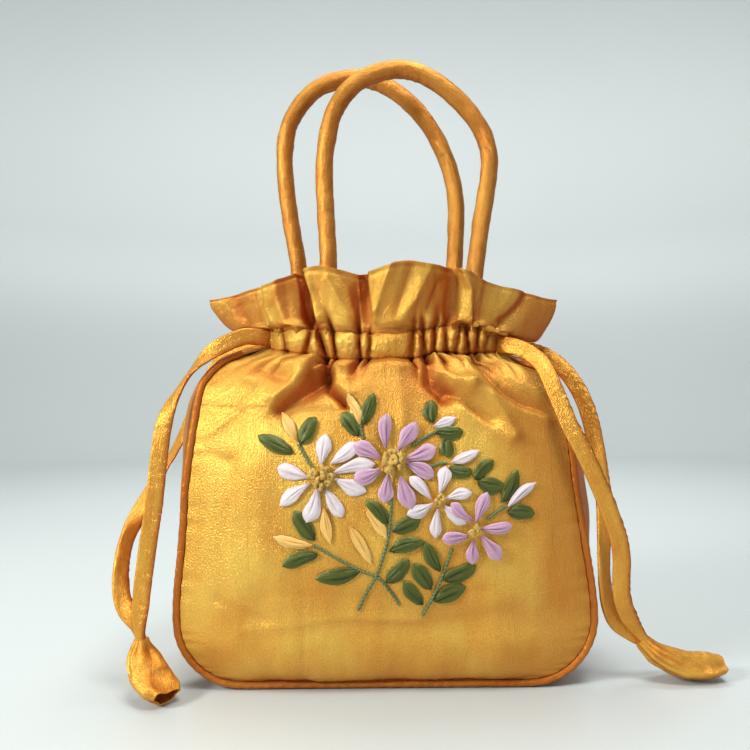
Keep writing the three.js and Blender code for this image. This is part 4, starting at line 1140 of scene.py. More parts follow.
@dataclass
class Neck:
    """The drawstring channel, front and back, and the ruffle above it.

    The rows of front_edge and back_edge say how the ruffle's top edge runs: the place across, the
    height there, and how far its fold stands out.
    """

    shape: BagShape
    satin: bpy.types.Material
    channel_wall: float = 0.0026
    channel_end: float = 0.93
    ruffle_rise: float = 0.032
    ruffle_width: float = 0.196
    ruffle_depth: float = 0.066
    ruffle_fold: float = 0.0085
    tail_half_depth: float = 0.0024
    channel_dents: Dents = Dents(0.0065, 0.0008, stretch=(1.0, 1.0, 0.8))
    ruffle_dents: Dents = Dents(0.012, 0.0006, stretch=(1.0, 1.0, 0.45))
    front_edge: tuple[tuple[float, float, float], ...] = (
        (-1.0, 0.6, 0.0), (-0.9, 0.82, -0.1), (-0.82, 0.88, 0.3), (-0.77, 0.88, 0.1), (-0.72, 0.9, 0.9),
        (-0.66, 0.97, 0.35), (-0.6, 1.04, -0.2), (-0.565, 1.02, -0.8), (-0.525, 1.05, 0.6),
        (-0.42, 1.01, 0.5), (-0.3, 0.93, 0.1), (-0.18, 0.87, -0.25), (-0.14, 0.88, -0.55),
        (-0.1, 0.9, 0.2), (0.08, 1.0, 0.9), (0.28, 1.03, 0.75), (0.43, 1.04, 0.25), (0.5, 1.05, -0.3),
        (0.58, 1.03, 0.7), (0.66, 0.94, 0.5), (0.76, 0.87, 0.05), (0.89, 0.84, 0.2), (1.0, 0.6, 0.0),
    )
    back_edge: tuple[tuple[float, float, float], ...] = (
        (-1.0, 0.6, 0.0), (-0.88, 0.8, 0.06), (-0.74, 0.84, -0.18), (-0.6, 0.98, 0.42),
        (-0.42, 1.0, -0.42), (-0.24, 0.95, 0.36), (-0.05, 0.92, -0.42), (0.14, 0.97, 0.42),
        (0.34, 1.0, -0.36), (0.55, 1.0, 0.48), (0.73, 0.95, -0.3), (0.88, 0.93, -0.2), (1.0, 0.6, 0.0),
    )
    front_creases: tuple[Fold, ...] = folds_from(
        (30, 34, 7, -624, 2140, -606, 1903),
        (32, -18, 10, -700, 2117, -672, 1914),
        (50, 12, 10, -900, 2040, -800, 1890),
        (40, -12, 10, -820, 2060, -740, 1900),
        (60, -12, 10, -550, 2100, -500, 1930),
        (17, -34, 10, -436, 2185, -405, 2060, -369, 1893),
        (18, 26, 8, -396, 2196, -366, 2060, -331, 1893),
        (40, 13, 7, -280, 2112, -175, 1930),
        (36, -10, 10, -220, 2150, -130, 2010),
        (15, -30, 10, -97, 2138, -78, 1877),
        (18, 14, 8, -58, 2154, -40, 1893),
        (32, 22, 7, 45, 2175, -10, 2028, -30, 1950),
        (34, -14, 10, 148, 2154, 76, 1934),
        (36, 20, 8, 242, 2164, 164, 2008, 112, 1937),
        (26, -12, 10, 300, 2100, 240, 1960),
        (30, -22, 10, 370, 2175, 368, 1893),
        (26, 38, 6, 412, 2200, 450, 2060, 440, 1900),
        (30, -12, 10, 560, 2106, 520, 1920),
        (34, -30, 6, 810, 2100, 740, 1990, 640, 1905),
        (60, 18, 10, 700, 2090, 640, 1980),
    )
    tail_up: tuple[float, ...] = (0.0, 0.1, 0.25, 0.5, 0.75, 1.0)
    tail_flare: tuple[float, ...] = (0.0, 0.36, 0.62, 0.82, 0.95, 1.0)
    tail_left: tuple[float, ...] = (0.045, 0.04, 0.09, 0.28, 0.46, 0.61)
    tail_right: tuple[float, ...] = (0.045, -0.12, -0.17, 0.08, 0.34, 0.56)

    def channel(self, face: Face, name: str, node: str) -> bpy.types.Object:
        """Builds one half of the channel, puffed between its two rows of stitches."""
        shape = self.shape
        across = np.linspace(-self.channel_end, self.channel_end, 330)
        up = np.linspace(0.0, 1.0, 36)[:, None]
        side = np.abs(across)[None, :] ** 3
        rise = np.where(across < 0, shape.neck_rise[0], shape.neck_rise[1])[None, :]
        low = shape.neck_height + rise * side
        high = shape.channel_top + 0.001 * side
        z = low + (high - low) * up
        pleats = shape.front_pleats if face is Face.FRONT else shape.back_pleats
        levels = shape.neck_height + up * shape.channel_height
        drawn, valley = shape.gathers(pleats, across, levels)
        puff = np.maximum(1.0 - np.abs(2.0 * up - 1.0) ** 2.2, 0.0)
        rims = np.clip(1.0 - np.minimum(up, 1.0 - up) / 0.10, 0.0, 1.0)
        swell = shape.channel_swell * puff + drawn * (0.35 + 0.65 * puff)
        depth = shape.neck_depth_at(across)[None, :] + shape.wall / 2 + swell * (1.0 - side**2)
        stitches = np.sin(across * 150.0 + 2.0 * np.sin(across * 31.0))[None, :]
        depth = depth - 0.0017 * rims**2 + 0.0004 * stitches * rims
        if face is Face.FRONT:
            z = z + shape.stitch_shift(across, drawn, levels) * (1.0 - side**2)
        x = across[None, :] * shape.neck_half + 0.0 * z
        points = np.stack([x, face.value * depth, z], axis=-1)
        if face is Face.BACK:
            points, valley = points[:, ::-1], valley[:, ::-1]
        cloth = ClothGrid(name, points, wall=self.channel_wall)
        cloth.push(self.channel_dents.over(cloth.points) * puff)
        # Painted shade in the gathers' valleys and along both rims.
        cloth.tints["fold"] = valley * 0.8 + 0.2 * rims
        return place_sheet(cloth, self.satin, node)

    def ruffle_half(
        self, edge: tuple[tuple[float, float, float], ...], across: Array, up: Array, face: Face
    ) -> tuple[Array, Array]:
        """Works out one half of the ruffle's outer face.

        Args:
            edge: the top edge's folds.
            across: places from -1 to 1.
            up: shares of the way up, one for each row.
            face: the front or the back.

        Returns:
            The points, a row for each share, and the painted shade at each one, most in valleys.
        """
        shape = self.shape
        places, rises, outs = zip(*edge)
        rise = between(places, rises, across)[None, :]
        out = between(places, outs, across)[None, :]
        side = np.abs(across)[None, :]
        flare = between(self.tail_up, self.tail_flare, up) * (self.ruffle_width - shape.neck_width) / 2
        x = across[None, :] * (shape.neck_half + flare * side**2.5)
        foot = shape.channel_top
        middle = foot + up * rise * self.ruffle_rise
        left = between(self.tail_up, self.tail_left, up)
        right = between(self.tail_up, self.tail_right, up)
        tail = np.where(across[None, :] < 0, left, right) * self.ruffle_rise
        z = middle + (foot + tail - middle) * side**3
        half = (shape.neck_depth + (self.ruffle_depth - shape.neck_depth) * up) / 2
        oval = np.maximum(1.0 - side**3, 0.0) ** (0.5 + 0.7 * np.sqrt(up))
        pleats = shape.front_pleats if face is Face.FRONT else shape.back_pleats
        levels = shape.channel_top + up * self.ruffle_rise
        drawn, valley = shape.gathers(pleats, across, levels)
        fold = out * self.ruffle_fold * (0.35 + 0.65 * up) * (1.0 - side**10)
        tip = self.tail_half_depth * np.sqrt(np.maximum(1.0 - side**24, 0.0))
        lifted = half * oval + fold + drawn * (1.0 - side**6) - shape.pinch(levels)
        depth = np.maximum(lifted, 0.0) + tip
        # Painted shade in the gathers' valleys and where the top edge's fold sinks in.
        deep = np.clip(valley * 0.8 + np.clip(-out, 0.0, 1.0) * (0.75 - 0.25 * up), 0.0, 1.0)
        if face is Face.FRONT:
            z = z + shape.stitch_shift(across, drawn, levels) * (1.0 - side**6)
        return np.stack([x, face.value * depth, z], axis=-1), deep

    def ruffle(self) -> bpy.types.Object:
        """Builds the flared collar, a closed ring whose ends are pressed flat into tails."""
        up = np.linspace(0.0, 1.0, 50)[:, None]
        even = np.linspace(-1.0, 1.0, 340)
        across = 0.5 * even + 0.5 * np.sin(0.5 * math.pi * even)
        front, front_deep = self.ruffle_half(self.front_edge, across, up, Face.FRONT)
        back, back_deep = self.ruffle_half(self.back_edge, across, up, Face.BACK)
        points = np.concatenate([front[:, :-1], back[:, :0:-1]], axis=1)
        deep = np.concatenate([front_deep[:, :-1], back_deep[:, :0:-1]], axis=1)
        cloth = ClothGrid("cloth_ruffle", points, is_ring=True)
        x, z = cloth.points[..., 0], cloth.points[..., 2]
        is_front = np.arange(points.shape[1])[None, :] < front.shape[1]
        creases = sum(crease.over(x, z) for crease in self.front_creases) * is_front
        cloth.push(creases * (1.0 - np.abs(x / (self.ruffle_width / 2)) ** 8) * ease(up, 0.02, 0.22))
        # Painted shade on both tails and on a band of the front's left faces; crease valleys darken and
        # ridges lighten.
        tails = 0.55 * ease(-x, 0.066, 0.078) + 0.3 * ease(x, 0.05, 0.08)
        faces = 0.3 * bell(x + 0.052, 0.009) * ease(up, 0.0, 0.3)
        deep = np.clip(deep - creases / 0.005 + tails + faces, 0.0, 1.0)
        fine = self.ruffle_dents.over(cloth.points) * ease(up, 0.05, 0.5)
        cloth.push(fine - 0.0004 * bell(up - 0.93, 0.03))
        foot = cloth.points[:1]
        inward = -0.0022 * cloth.normals()[:1] * np.array([1.0, 1.0, 0.0])
        low_hem = foot + inward - np.array([0.0, 0.0, 0.004])
        high_hem = foot + inward * 0.7 - np.array([0.0, 0.0, 0.0012])
        cloth.points = np.concatenate([low_hem, high_hem, cloth.points])
        # The hem rows get more painted shade.
        cloth.tints["fold"] = np.concatenate([deep[:1] + 0.5, deep[:1] + 0.4, deep])
        return place_sheet(cloth, self.satin, "ruffle")

    def build(self) -> list[bpy.types.Object]:
        """Returns the neck's pieces."""
        front = self.channel(Face.FRONT, "channel_front", "casing_front")
        back = self.channel(Face.BACK, "channel_back", "casing_back")
        return [front, back, self.ruffle()]


@dataclass
class Handles:
    """The two stuffed tubes, foot to foot. Rows hold x over half the neck, and height share."""

    shape: BagShape
    satin: bpy.types.Material
    radius: float = 0.0049
    rise: float = 0.151
    apart: float = 0.024
    lean: float = 0.5
    length: float = 0.45
    steps: int = 520
    rounding: int = 34
    seam_depth: float = 0.0005
    sharp_bend: float = 30.0
    dents: Dents = Dents(0.0065, 0.00035, stretch=(1.0, 1.0, 0.55))
    streaks: Dents = Dents(0.0035, 0.00018, stretch=(1.6, 1.6, 0.18))
    kinks: Dents = Dents(0.004, 0.0004, 2, (0.4, 0.4, 1.4), 0.3)
    front_rows: tuple[tuple[float, float], ...] = (
        (-0.48, -0.053), (-0.46, 0.09), (-0.445, 0.23), (-0.48, 0.545), (-0.47, 0.66), (-0.365, 0.84),
        (-0.158, 0.918), (0.158, 0.958), (0.464, 0.904), (0.71, 0.803), (0.87, 0.7), (0.9, 0.61),
        (0.836, 0.44), (0.76, 0.223), (0.74, 0.09), (0.73, -0.053),
    )
    back_rows: tuple[tuple[float, float], ...] = (
        (-0.7, -0.053), (-0.71, 0.09), (-0.74, 0.26), (-0.83, 0.5), (-0.86, 0.73), (-0.77, 0.864),
        (-0.567, 0.955), (-0.277, 0.993), (0.005, 0.969), (0.31, 0.864), (0.53, 0.71), (0.644, 0.52),
        (0.62, 0.27), (0.61, 0.09), (0.6, -0.053),
    )
    front_feet: tuple[float, float] = (0.0166, 0.0105)
    back_feet: tuple[float, float] = (0.0128, 0.0135)

    def line(self, rows: tuple, feet: tuple[float, float], face: Face) -> Array:
        """Returns a handle's middle line."""
        points = []
        for i, (x, up) in enumerate(rows):
            foot = feet[0] if i < len(rows) / 2 else feet[1]
            share = min(max(up, 0.0) / self.lean, 1.0)
            depth = foot + (self.apart / 2 - foot) * share
            z = self.shape.channel_top + up * self.rise
            points.append((x * self.shape.neck_half, face.value * depth, z))
        return np.array(points)

    def handle(self, rows: tuple, feet: tuple, face: Face, name: str, node: str) -> bpy.types.Object:
        """Builds one handle: a full tube with a seam inside, small dents and pulled creases.

        Args:
            rows: its line's points, as shares.
            feet: how deep its left and right foot stand.
            face: the front or the back.
            name: the piece's name.
            node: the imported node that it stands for.

        Returns:
            The handle as a mesh object.
        """
        points = self.line(rows, feet, face)
        path = smoothed(even_path(points, self.steps), self.rounding)
        turn = turns(36)
        tangent = unit(np.gradient(path, axis=0))
        bend = np.linalg.norm(np.gradient(tangent, axis=0), axis=1)[:, None] * self.steps / self.length
        reach = np.linspace(0.0, self.length, self.steps)[:, None]
        ring = (np.cos(turn) * 0.006, np.sin(turn) * 0.006)
        around = np.stack(np.broadcast_arrays(*ring, reach), axis=-1)
        dents, streaks = self.dents.over(around), self.streaks.over(around)
        seam = -self.seam_depth * bell(turn - math.pi, 0.14)
        kinks = self.kinks.over(around) * np.clip(bend / self.sharp_bend, 0.0, 1.0)
        radius = self.radius * 0.985 + dents + streaks + seam + kinks * np.clip(-np.cos(turn), 0.0, 1.0)
        tube = Tube(name, path, radius * np.sin(turn), radius * np.cos(turn))
        # Painted shade in the dents.
        tube.tints["fold"] = 0.4 * np.clip(-(dents + streaks) / 0.0004, 0.0, 1.0)
        piece = place(tube.make(path - path.mean(axis=0)), self.satin, "gold_satin", node)
        return piece

    def build(self) -> list[bpy.types.Object]:
        """Returns both handles."""
        front = self.handle(self.front_rows, self.front_feet, Face.FRONT, "tube_front", "handle_front")
        back = self.handle(self.back_rows, self.back_feet, Face.BACK, "tube_back", "handle_back")
        return [front, back]


@dataclass(frozen=True)
class StringRoute:
    """One drawstring's given route, and how far its flat face turns on the way."""

    name: str
    points: tuple[tuple[float, float, float], ...]
    turns: tuple[tuple[float, float], ...]


@dataclass
class Drawstrings:
    """The four flat strings that hang from the channel, and their two knotted ends."""

    satin: bpy.types.Material
    width: float = 0.009
    thickness: float = 0.0024
    end_width: float = 0.020
    end_thickness: float = 0.013
    string_steps: int = 420
    end_steps: int = 100
    mouth_steps: int = 18
    level_step: int = 60
    string_dents: Dents = Dents(0.004, 0.0003, stretch=(1.0, 1.0, 0.5))
    end_dents: Dents = Dents(0.007, 0.0005, 2)
    routes: tuple[StringRoute, ...] = (
        StringRoute(
            "left_front",
            (
                (-0.0628, -0.0114, 0.1827), (-0.0680, -0.0150, 0.1834), (-0.0750, -0.0175, 0.1834),
                (-0.0840, -0.0190, 0.1800), (-0.0930, -0.0205, 0.1744), (-0.1030, -0.0230, 0.1635),
                (-0.1102, -0.0265, 0.1507), (-0.1146, -0.0300, 0.1380), (-0.1170, -0.0330, 0.1175),
                (-0.1184, -0.0360, 0.0971), (-0.1210, -0.0390, 0.0746), (-0.1231, -0.0420, 0.0521),
                (-0.1236, -0.0440, 0.0380), (-0.1232, -0.0444, 0.0278),
            ),
            ((0.0, 0.0), (0.14, 0.0), (0.24, 62.0), (0.32, 58.0), (0.42, 6.0), (0.7, -8.0), (1.0, 10.0)),
        ),
        StringRoute(
            "left_back",
            (
                (-0.0626, 0.0113, 0.1826), (-0.0700, 0.0156, 0.1829), (-0.0800, 0.0185, 0.1825),
                (-0.0900, 0.0220, 0.1780), (-0.1000, 0.0260, 0.1695), (-0.1090, 0.0285, 0.1560),
                (-0.1165, 0.0280, 0.1390), (-0.1240, 0.0200, 0.1200), (-0.1300, 0.0080, 0.1055),
                (-0.1350, -0.0050, 0.0905), (-0.1386, -0.0170, 0.0770), (-0.1386, -0.0270, 0.0643),
                (-0.1366, -0.0340, 0.0515), (-0.1324, -0.0384, 0.0420), (-0.1264, -0.0406, 0.0343),
                (-0.1236, -0.0412, 0.0279),
            ),
            ((0.0, 0.0), (0.3, 25.0), (0.5, 50.0), (0.66, 0.0), (0.74, -55.0), (0.88, -40.0), (1.0, 0.0)),
        ),
        StringRoute(
            "right_front",
            (
                (0.0624, -0.0112, 0.1782), (0.0670, -0.0148, 0.1779), (0.0740, -0.0185, 0.1756),
                (0.0800, -0.0220, 0.1715), (0.0846, -0.0280, 0.1650), (0.0885, -0.0340, 0.1535),
                (0.0945, -0.0395, 0.1360), (0.1016, -0.0420, 0.1209), (0.1092, -0.0430, 0.1033),
                (0.1150, -0.0430, 0.0880), (0.1186, -0.0420, 0.0773), (0.1206, -0.0400, 0.0670),
                (0.1210, -0.0380, 0.0564), (0.1220, -0.0360, 0.0457), (0.1266, -0.0330, 0.0345),
                (0.1330, -0.0304, 0.0252), (0.1364, -0.0296, 0.0214),
            ),
            ((0.0, 0.0), (0.5, 0.0), (0.8, 8.0), (1.0, 0.0)),
        ),
        StringRoute(
            "right_back",
            (
                (0.0619, 0.0108, 0.1782), (0.0700, 0.0145, 0.1786), (0.0820, 0.0140, 0.1775),
                (0.0930, 0.0080, 0.1730), (0.1020, 0.0000, 0.1640), (0.1086, -0.0080, 0.1510),
                (0.1120, -0.0145, 0.1370), (0.1136, -0.0195, 0.1220), (0.1150, -0.0230, 0.1070),
                (0.1158, -0.0265, 0.0920), (0.1150, -0.0290, 0.0790), (0.1142, -0.0310, 0.0654),
                (0.1146, -0.0310, 0.0524), (0.1164, -0.0302, 0.0410), (0.1210, -0.0286, 0.0310),
                (0.1286, -0.0270, 0.0236), (0.1336, -0.0262, 0.0206),
            ),
            ((0.0, 0.0), (0.4, 20.0), (0.6, -10.0), (0.8, -35.0), (1.0, 0.0)),
        ),
    )
    left_end: tuple[tuple[float, float, float], ...] = (
        (-0.1234, -0.0428, 0.0292), (-0.1226, -0.0434, 0.0210), (-0.1160, -0.0490, 0.0110),
        (-0.1064, -0.0570, 0.0055),
    )
    right_end: tuple[tuple[float, float, float], ...] = (
        (0.1334, -0.0280, 0.0222), (0.1425, -0.0276, 0.0140), (0.1580, -0.0270, 0.0080),
        (0.1770, -0.0260, 0.0075),
    )
    end_rows: tuple[tuple[float, float, float], ...] = (
        (0.0, 0.36, 0.54), (0.08, 0.5, 0.68), (0.2, 0.74, 0.84), (0.4, 0.97, 1.0), (0.65, 1.05, 1.0),
        (0.86, 0.98, 0.92), (1.0, 0.72, 0.66),
    )

    def string(self, route: StringRoute) -> tuple[bpy.types.Object, Array]:
        """Builds one string: a flat sewn tube, puckered along the seam at its edge.

        Args:
            route: the string's points and turns.

        Returns:
            The string, and the line that it follows.
        """
        points, count = np.array(route.points), self.string_steps
        path = even_path(points, count)
        share = np.linspace(0.0, 1.0, count)[:, None]
        turn = np.radians(between(*zip(*route.turns), share[:, 0]))
        ring = turns(40)
        across = 0.5 * self.width * np.sign(np.sin(ring)) * np.abs(np.sin(ring)) ** 0.62
        over = 0.5 * self.thickness * np.sign(np.cos(ring)) * np.abs(np.cos(ring)) ** 0.5
        near_seam = bell(across + 0.5 * self.width, 0.0016)
        pucker = np.sin(share * 210.0 + 3.0 * np.sin(share * 47.0)) * (0.6 + 0.4 * np.sin(share * 23.0))
        across = across + near_seam * 0.00012 * pucker
        over = over + np.sign(over) * near_seam * (0.00022 * pucker - 0.0003)
        gathered = ease(share, 0.90, 1.0)
        across = across * (1.0 - 0.45 * gathered)
        over = over * (1.0 + 0.5 * gathered)
        reach = share * len(points) * 0.012
        sheet = np.stack(np.broadcast_arrays(across, 0.0 * share, reach), axis=-1)
        over = over + self.string_dents.over(sheet)
        face, side = Tube.frames(path, np.tile([0.0, -1.0, 0.0], (count, 1)))
        turned = face * np.cos(turn)[:, None] + side * np.sin(turn)[:, None]
        tube = Tube("string_" + route.name, path, across, over)
        # Painted shade along the puckered seam.
        tube.tints["fold"] = np.clip(near_seam * 0.6, 0.0, 1.0) + 0.0 * share
        return tube.make(turned), path

    @staticmethod
    def sampled(line: Array, shares: Array) -> Array:
        """Returns a line's values at shares of its way."""
        steps = np.linspace(0.0, 1.0, len(line))
        return np.stack([np.interp(shares, steps, line[:, k]) for k in range(3)], axis=-1)

    def knotted_end(self, name: str, line: tuple, node: str, seed: float) -> bpy.types.Object:
        """Builds a tab: drawn tight at its knot, swelling to an open, folded mouth.

        Args:
            name: the piece's name.
            line: the points of its middle line, from the knot.
            node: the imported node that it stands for.
            seed: a number that sets its folds.

        Returns:
            The tab as a mesh object.
        """
        whole = even_path(np.array(line), 400)
        outer_steps, turned_in = self.end_steps, self.mouth_steps
        shares = np.concatenate([np.linspace(0.0, 1.0, outer_steps), np.linspace(0.99, 0.74, turned_in)])
        path = self.sampled(whole, shares)
        keys, wides, thicks = zip(*self.end_rows)
        wide = between(keys, wides, shares)[:, None]
        thick = between(keys, thicks, shares)[:, None]
        inside = np.concatenate([np.zeros(outer_steps), np.linspace(0.12, 0.8, turned_in)])[:, None]
        wide = wide * (1.0 - 0.5 * inside) - 0.08 * (inside > 0)
        thick = thick * (1.0 - 0.75 * inside) - 0.05 * (inside > 0)
        turn = turns(96)
        share = shares[:, None]
        flutes = np.sin(turn * 9.0 + seed + 1.5 * np.sin(turn * 2.0)) * bell(share - 0.2, 0.22)
        broad = np.sin(turn * 3.0 + seed * 2.0 + 2.5 * share) * ease(share, 0.25, 0.7)
        lips = np.sin(turn * 6.0 + seed) * ease(share, 0.78, 1.0)
        ripple = 1.0 + 0.08 * flutes + 0.10 * broad + 0.06 * lips
        dimple = 1.0 - 0.45 * bell(np.cos(turn - 4.0 - seed) - 1.0, 0.35) * ease(share, 0.45, 0.95)
        across = 0.5 * self.end_width * wide * np.cos(turn) * ripple
        over = 0.5 * self.end_thickness * thick * np.sin(turn) * ripple * dimple
        along = unit(self.sampled(np.gradient(whole, axis=0), shares))
        east, north, _ = along[self.level_step]
        level = unit(np.array([north, -east, 0.0]))
        first = unit(level[None, :] - along * (along @ level)[:, None])
        second = np.cross(along, first)
        ring = path[:, None, :] + first[:, None, :] * across[..., None]
        ring = ring + second[:, None, :] * over[..., None]
        # Half-strength painted shade on faces turned from the light.
        grid = ClothGrid(name, ring, is_ring=True, painted_shade_weight=0.5)
        outer = 1.0 - np.clip(inside * 3.0, 0.0, 1.0)
        grid.push(self.end_dents.over(grid.points) * outer)
        grid.points[..., 2] = np.maximum(grid.points[..., 2], 0.0003)
        # Painted shade inside the mouth and in the flutes' hollows.
        shade = 0.6 * np.clip(inside * 2.0, 0.0, 1.0)
        grid.tints["fold"] = np.clip(-0.5 * flutes - 0.3 * broad, 0.0, 1.0) + shade
        piece = grid.make()
        close_ends(piece, grid.points.shape[1])
        run(bpy.ops.object.shade_smooth_by_angle, piece, angle=math.radians(60.0))
        return place(piece, self.satin, "gold_satin", node)

    def build(self) -> list[bpy.types.Object]:
        """Returns the strings and their ends."""
        left = self.knotted_end("tab_left", self.left_end, "string_end_left", 0.4)
        right = self.knotted_end("tab_right", self.right_end, "string_end_right", 2.1)
        pieces = [left, right]
        for route in self.routes:
            piece, path = self.string(route)
            place(piece, self.satin, "gold_satin", "drawstring_" + route.name)
            pieces.append(piece)
        return pieces


class Stitch(Enum):
    """The outlines of a ribbon stitch: rows of place along, half width and height shares."""

    PETAL = (
        (0.0, 0.2, 0.6), (0.12, 0.36, 0.8), (0.35, 0.72, 1.0), (0.6, 1.0, 0.95), (0.8, 0.9, 0.8),
        (0.93, 0.5, 0.5), (1.0, 0.06, 0.3),
    )
    LEAF = (
        (0.0, 0.14, 0.6), (0.12, 0.62, 0.85), (0.35, 0.98, 1.0), (0.65, 0.98, 0.95), (0.88, 0.66, 0.7),
        (1.0, 0.1, 0.4),
    )
    BUD = ((0.0, 0.2, 0.6), (0.2, 0.68, 0.9), (0.5, 1.0, 1.0), (0.8, 0.76, 0.8), (1.0, 0.08, 0.4))


@dataclass(frozen=True)
class Flower:
    """A daisy: its petals' base and tip on the chart, in the order that they were sewn."""

    name: str
    centre: tuple[float, float]
    width: float
    knot: float
    lift: float
    petals: tuple[tuple[float, float, float, float], ...]


@dataclass(frozen=True)
class Plant:
    """A sprig: its leaves' base and tip, and its stems' points, on the chart."""

    name: str
    leaves: tuple[tuple[float, float, float, float], ...]
    stems: tuple[tuple[tuple[float, float], ...], ...] = ()


@dataclass
class Spray:
    """The ribbon embroidery on the front, charted in squares of half a millimetre."""

    cloth: ClothGrid
    white: bpy.types.Material
    lilac: bpy.types.Material
    green: bpy.types.Material
    stem_green: bpy.types.Material
    yellow: bpy.types.Material
    knot_yellow: bpy.types.Material
    square: float = 0.0005
    middle: tuple[float, float] = (0.006372, 0.095632)
    rise: float = 0.0017
    leaf_width: float = 0.0074
    bud_width: float = 0.0054
    stem_radius: float = 0.0008
    knot_dents: Dents = Dents(0.0012, 0.08)
    flowers: tuple[Flower, ...] = (
        Flower(
            "white_large", (-75.5, 29.0), 0.0076, 0.0064, 0.0005,
            (
                (-76, 40, -72, 72), (-66, 42, -40, 64), (-63, 33, -21, 42), (-62, 27, -31, 13),
                (-71, 18, -55, -11), (-79, 18, -89, -16), (-87, 23, -116, 0), (-89, 29, -120, 39),
            ),
        ),
        Flower(
            "lilac_large", (-4.0, 43.0), 0.0078, 0.0068, 0.0016,
            (
                (-16, 36, -42, 25), (-8, 32, -11, 3), (4, 29, 14, -3), (10, 42, 36, 27),
                (9, 46, 40, 57), (2, 54, 19, 83), (-11, 57, -11, 91), (-17, 47, -42, 62),
            ),
        ),
        Flower(
            "white_small", (42.0, 6.0), 0.0064, 0.0036, 0.0010,
            (
                (43, 12, 48, 39), (49, 7, 75, 13), (47, 0, 68, -19), (41, -3, 37, -32),
                (36, 2, 10, -9), (34, 7, 12, 28),
            ),
        ),
        Flower(
            "lilac_small", (77.0, -24.5), 0.0064, 0.0036, 0.0018,
            (
                (78, -17, 89, 13), (83, -23, 114, -21), (83, -30, 100, -55), (76, -34, 74, -58),
                (71, -30, 45, -34), (74, -15, 53, 2),
            ),
        ),
    )
    plants: tuple[Plant, ...] = (
        Plant("loose_leaf", ((-104, 53, -141, 70),)),
        Plant("sprig_1", ((-97, 62, -82, 89),), (((-84, 38), (-92, 50), (-99, 62)),)),
        Plant("sprig_2", ((-38, 70, -55, 93), (-33, 81, -24, 113)), (((-33, 63), (-34, 72), (-36, 81)),)),
        Plant(
            "sprig_3",
            ((36, 82, 35, 105), (41, 72, 68, 71), (52, 66, 50, 47)),
            (((16, 59), (26, 66), (38, 72)), ((38, 72), (45, 76), (54, 84))),
        ),
        Plant("sprig_4", ((52, 36, 76, 31),), (((33, 38), (42, 41), (51, 42)),)),
        Plant("sprig_5", ((78, 25, 97, 45), (81, 22, 108, 17))),
        Plant("sprig_6", ((105, 2, 124, 33), (111, -8, 139, -11)), (((90, -14), (100, -7), (110, -1)),)),
        Plant(
            "branch_left",
            (
                (-82, -33, -104, -5), (-79, -47, -114, -59), (-37, -64, -82, -70), (-9, -17, -29, 7),
                (-5, -24, 23, -12), (-8, -44, 27, -34), (-11, -76, 11, -52),
            ),
            (
                ((-5, 8), (-8, -25), (-13, -46), (-21, -68), (-31, -86), (-40, -104)),
                ((-83, -38), (-57, -53), (-36, -64), (-19, -71), (-8, -84), (2, -99)),
            ),
        ),
        Plant(
            "branch_right",
            (
                (33, -83, 17, -56), (42, -65, 28, -35), (45, -74, 78, -59), (25, -98, 5, -75),
                (36, -95, 68, -81),
            ),
            (((55, -42), (49, -58), (42, -76), (34, -93), (24, -110)),),
        ),
    )
    yellow_buds: tuple[tuple[float, float, float, float], ...] = (
        (-101, 65, -117, 94), (-36, 81, -48, 114), (-85, -38, -124, -30), (-73, -1, -65, -37),
        (-48, -19, -26, -57), (-31, 0, -11, -32),
    )
    white_buds: tuple[tuple[float, float, float, float], ...] = (
        (38, 78, 62, 86), (55, 42, 84, 53), (111, -2, 141, 21),
    )

    def __post_init__(self) -> None:
        """Prepares the front's outer face for finding places on it."""
        points = self.cloth.points.reshape(-1, 3).tolist()
        self.tree = BVHTree.FromPolygons(points, self.cloth.faces().tolist())

    def on_cloth(self, x: Array, z: Array, lift: Array) -> Array:
        """Returns points over the front at places x and z, each lifted off the cloth."""
        flat = []
        for px, pz, high in zip(x.ravel().tolist(), z.ravel().tolist(), lift.ravel().tolist()):
            hit, normal, _, _ = self.tree.ray_cast(Vector((px, -0.3, pz)), Vector((0.0, 1.0, 0.0)))
            flat.append(hit + normal * high)
        return np.array(flat).reshape(*x.shape, 3)

    def charted(self, squares: tuple[float, float]) -> Array:
        """Returns a charted place in metres on the front."""
        return np.array(self.middle) + self.square * np.array(squares, dtype=float)

    def ribbon(
        self, name: str, ends: tuple, stitch: Stitch, width: float, lift: float, seed: int
    ) -> bpy.types.Object:
        """Builds one ribbon stitch: arched, creased lengthwise, drawn in at both ends.

        Args:
            name: the piece's name.
            ends: its base and tip on the chart.
            stitch: its outline.
            width: its full width.
            lift: how far it lies over the cloth.
            seed: a number that sets its small differences.

        Returns:
            The stitch as a mesh object, with edge tints and painted shade in its creases.
        """
        base, tip = self.charted(ends[:2]), self.charted(ends[2:])
        keys, halves, heights = zip(*stitch.value)
        along = np.linspace(0.0, 1.0, 23)[:, None]
        across = np.linspace(-1.0, 1.0, 15)[None, :]
        half = 0.5 * width * between(keys, halves, along[:, 0])[:, None]
        half = half * (1.0 + 0.07 * np.sin(across * 3.0 + along * 9.0 + 2.1 * seed))
        high = between(keys, heights, along[:, 0])[:, None]
        reach = tip - base
        length = np.linalg.norm(reach)
        side = np.array([reach[1], -reach[0]]) / length
        sway = 0.05 * math.sin(2.3 * seed) * np.sin(math.pi * along) * length
        lean = 0.10 * width * math.sin(1.3 * seed + 0.5) * along**2
        shift = half * across + sway + lean
        x = base[0] + reach[0] * along + side[0] * shift
        z = base[1] + reach[1] * along + side[1] * shift
        arch = 1.0 - 0.7 * across**2 + 0.28 * across * math.sin(1.9 * seed)
        off = 0.22 * math.sin(1.7 * seed)
        groove = bell(across - off, 0.13) * np.sin(math.pi * np.clip(along * 1.1, 0.0, 1.0))
        second = bell(across + 0.52 - 0.2 * math.sin(seed), 0.11) * bell(along - 0.35, 0.4)
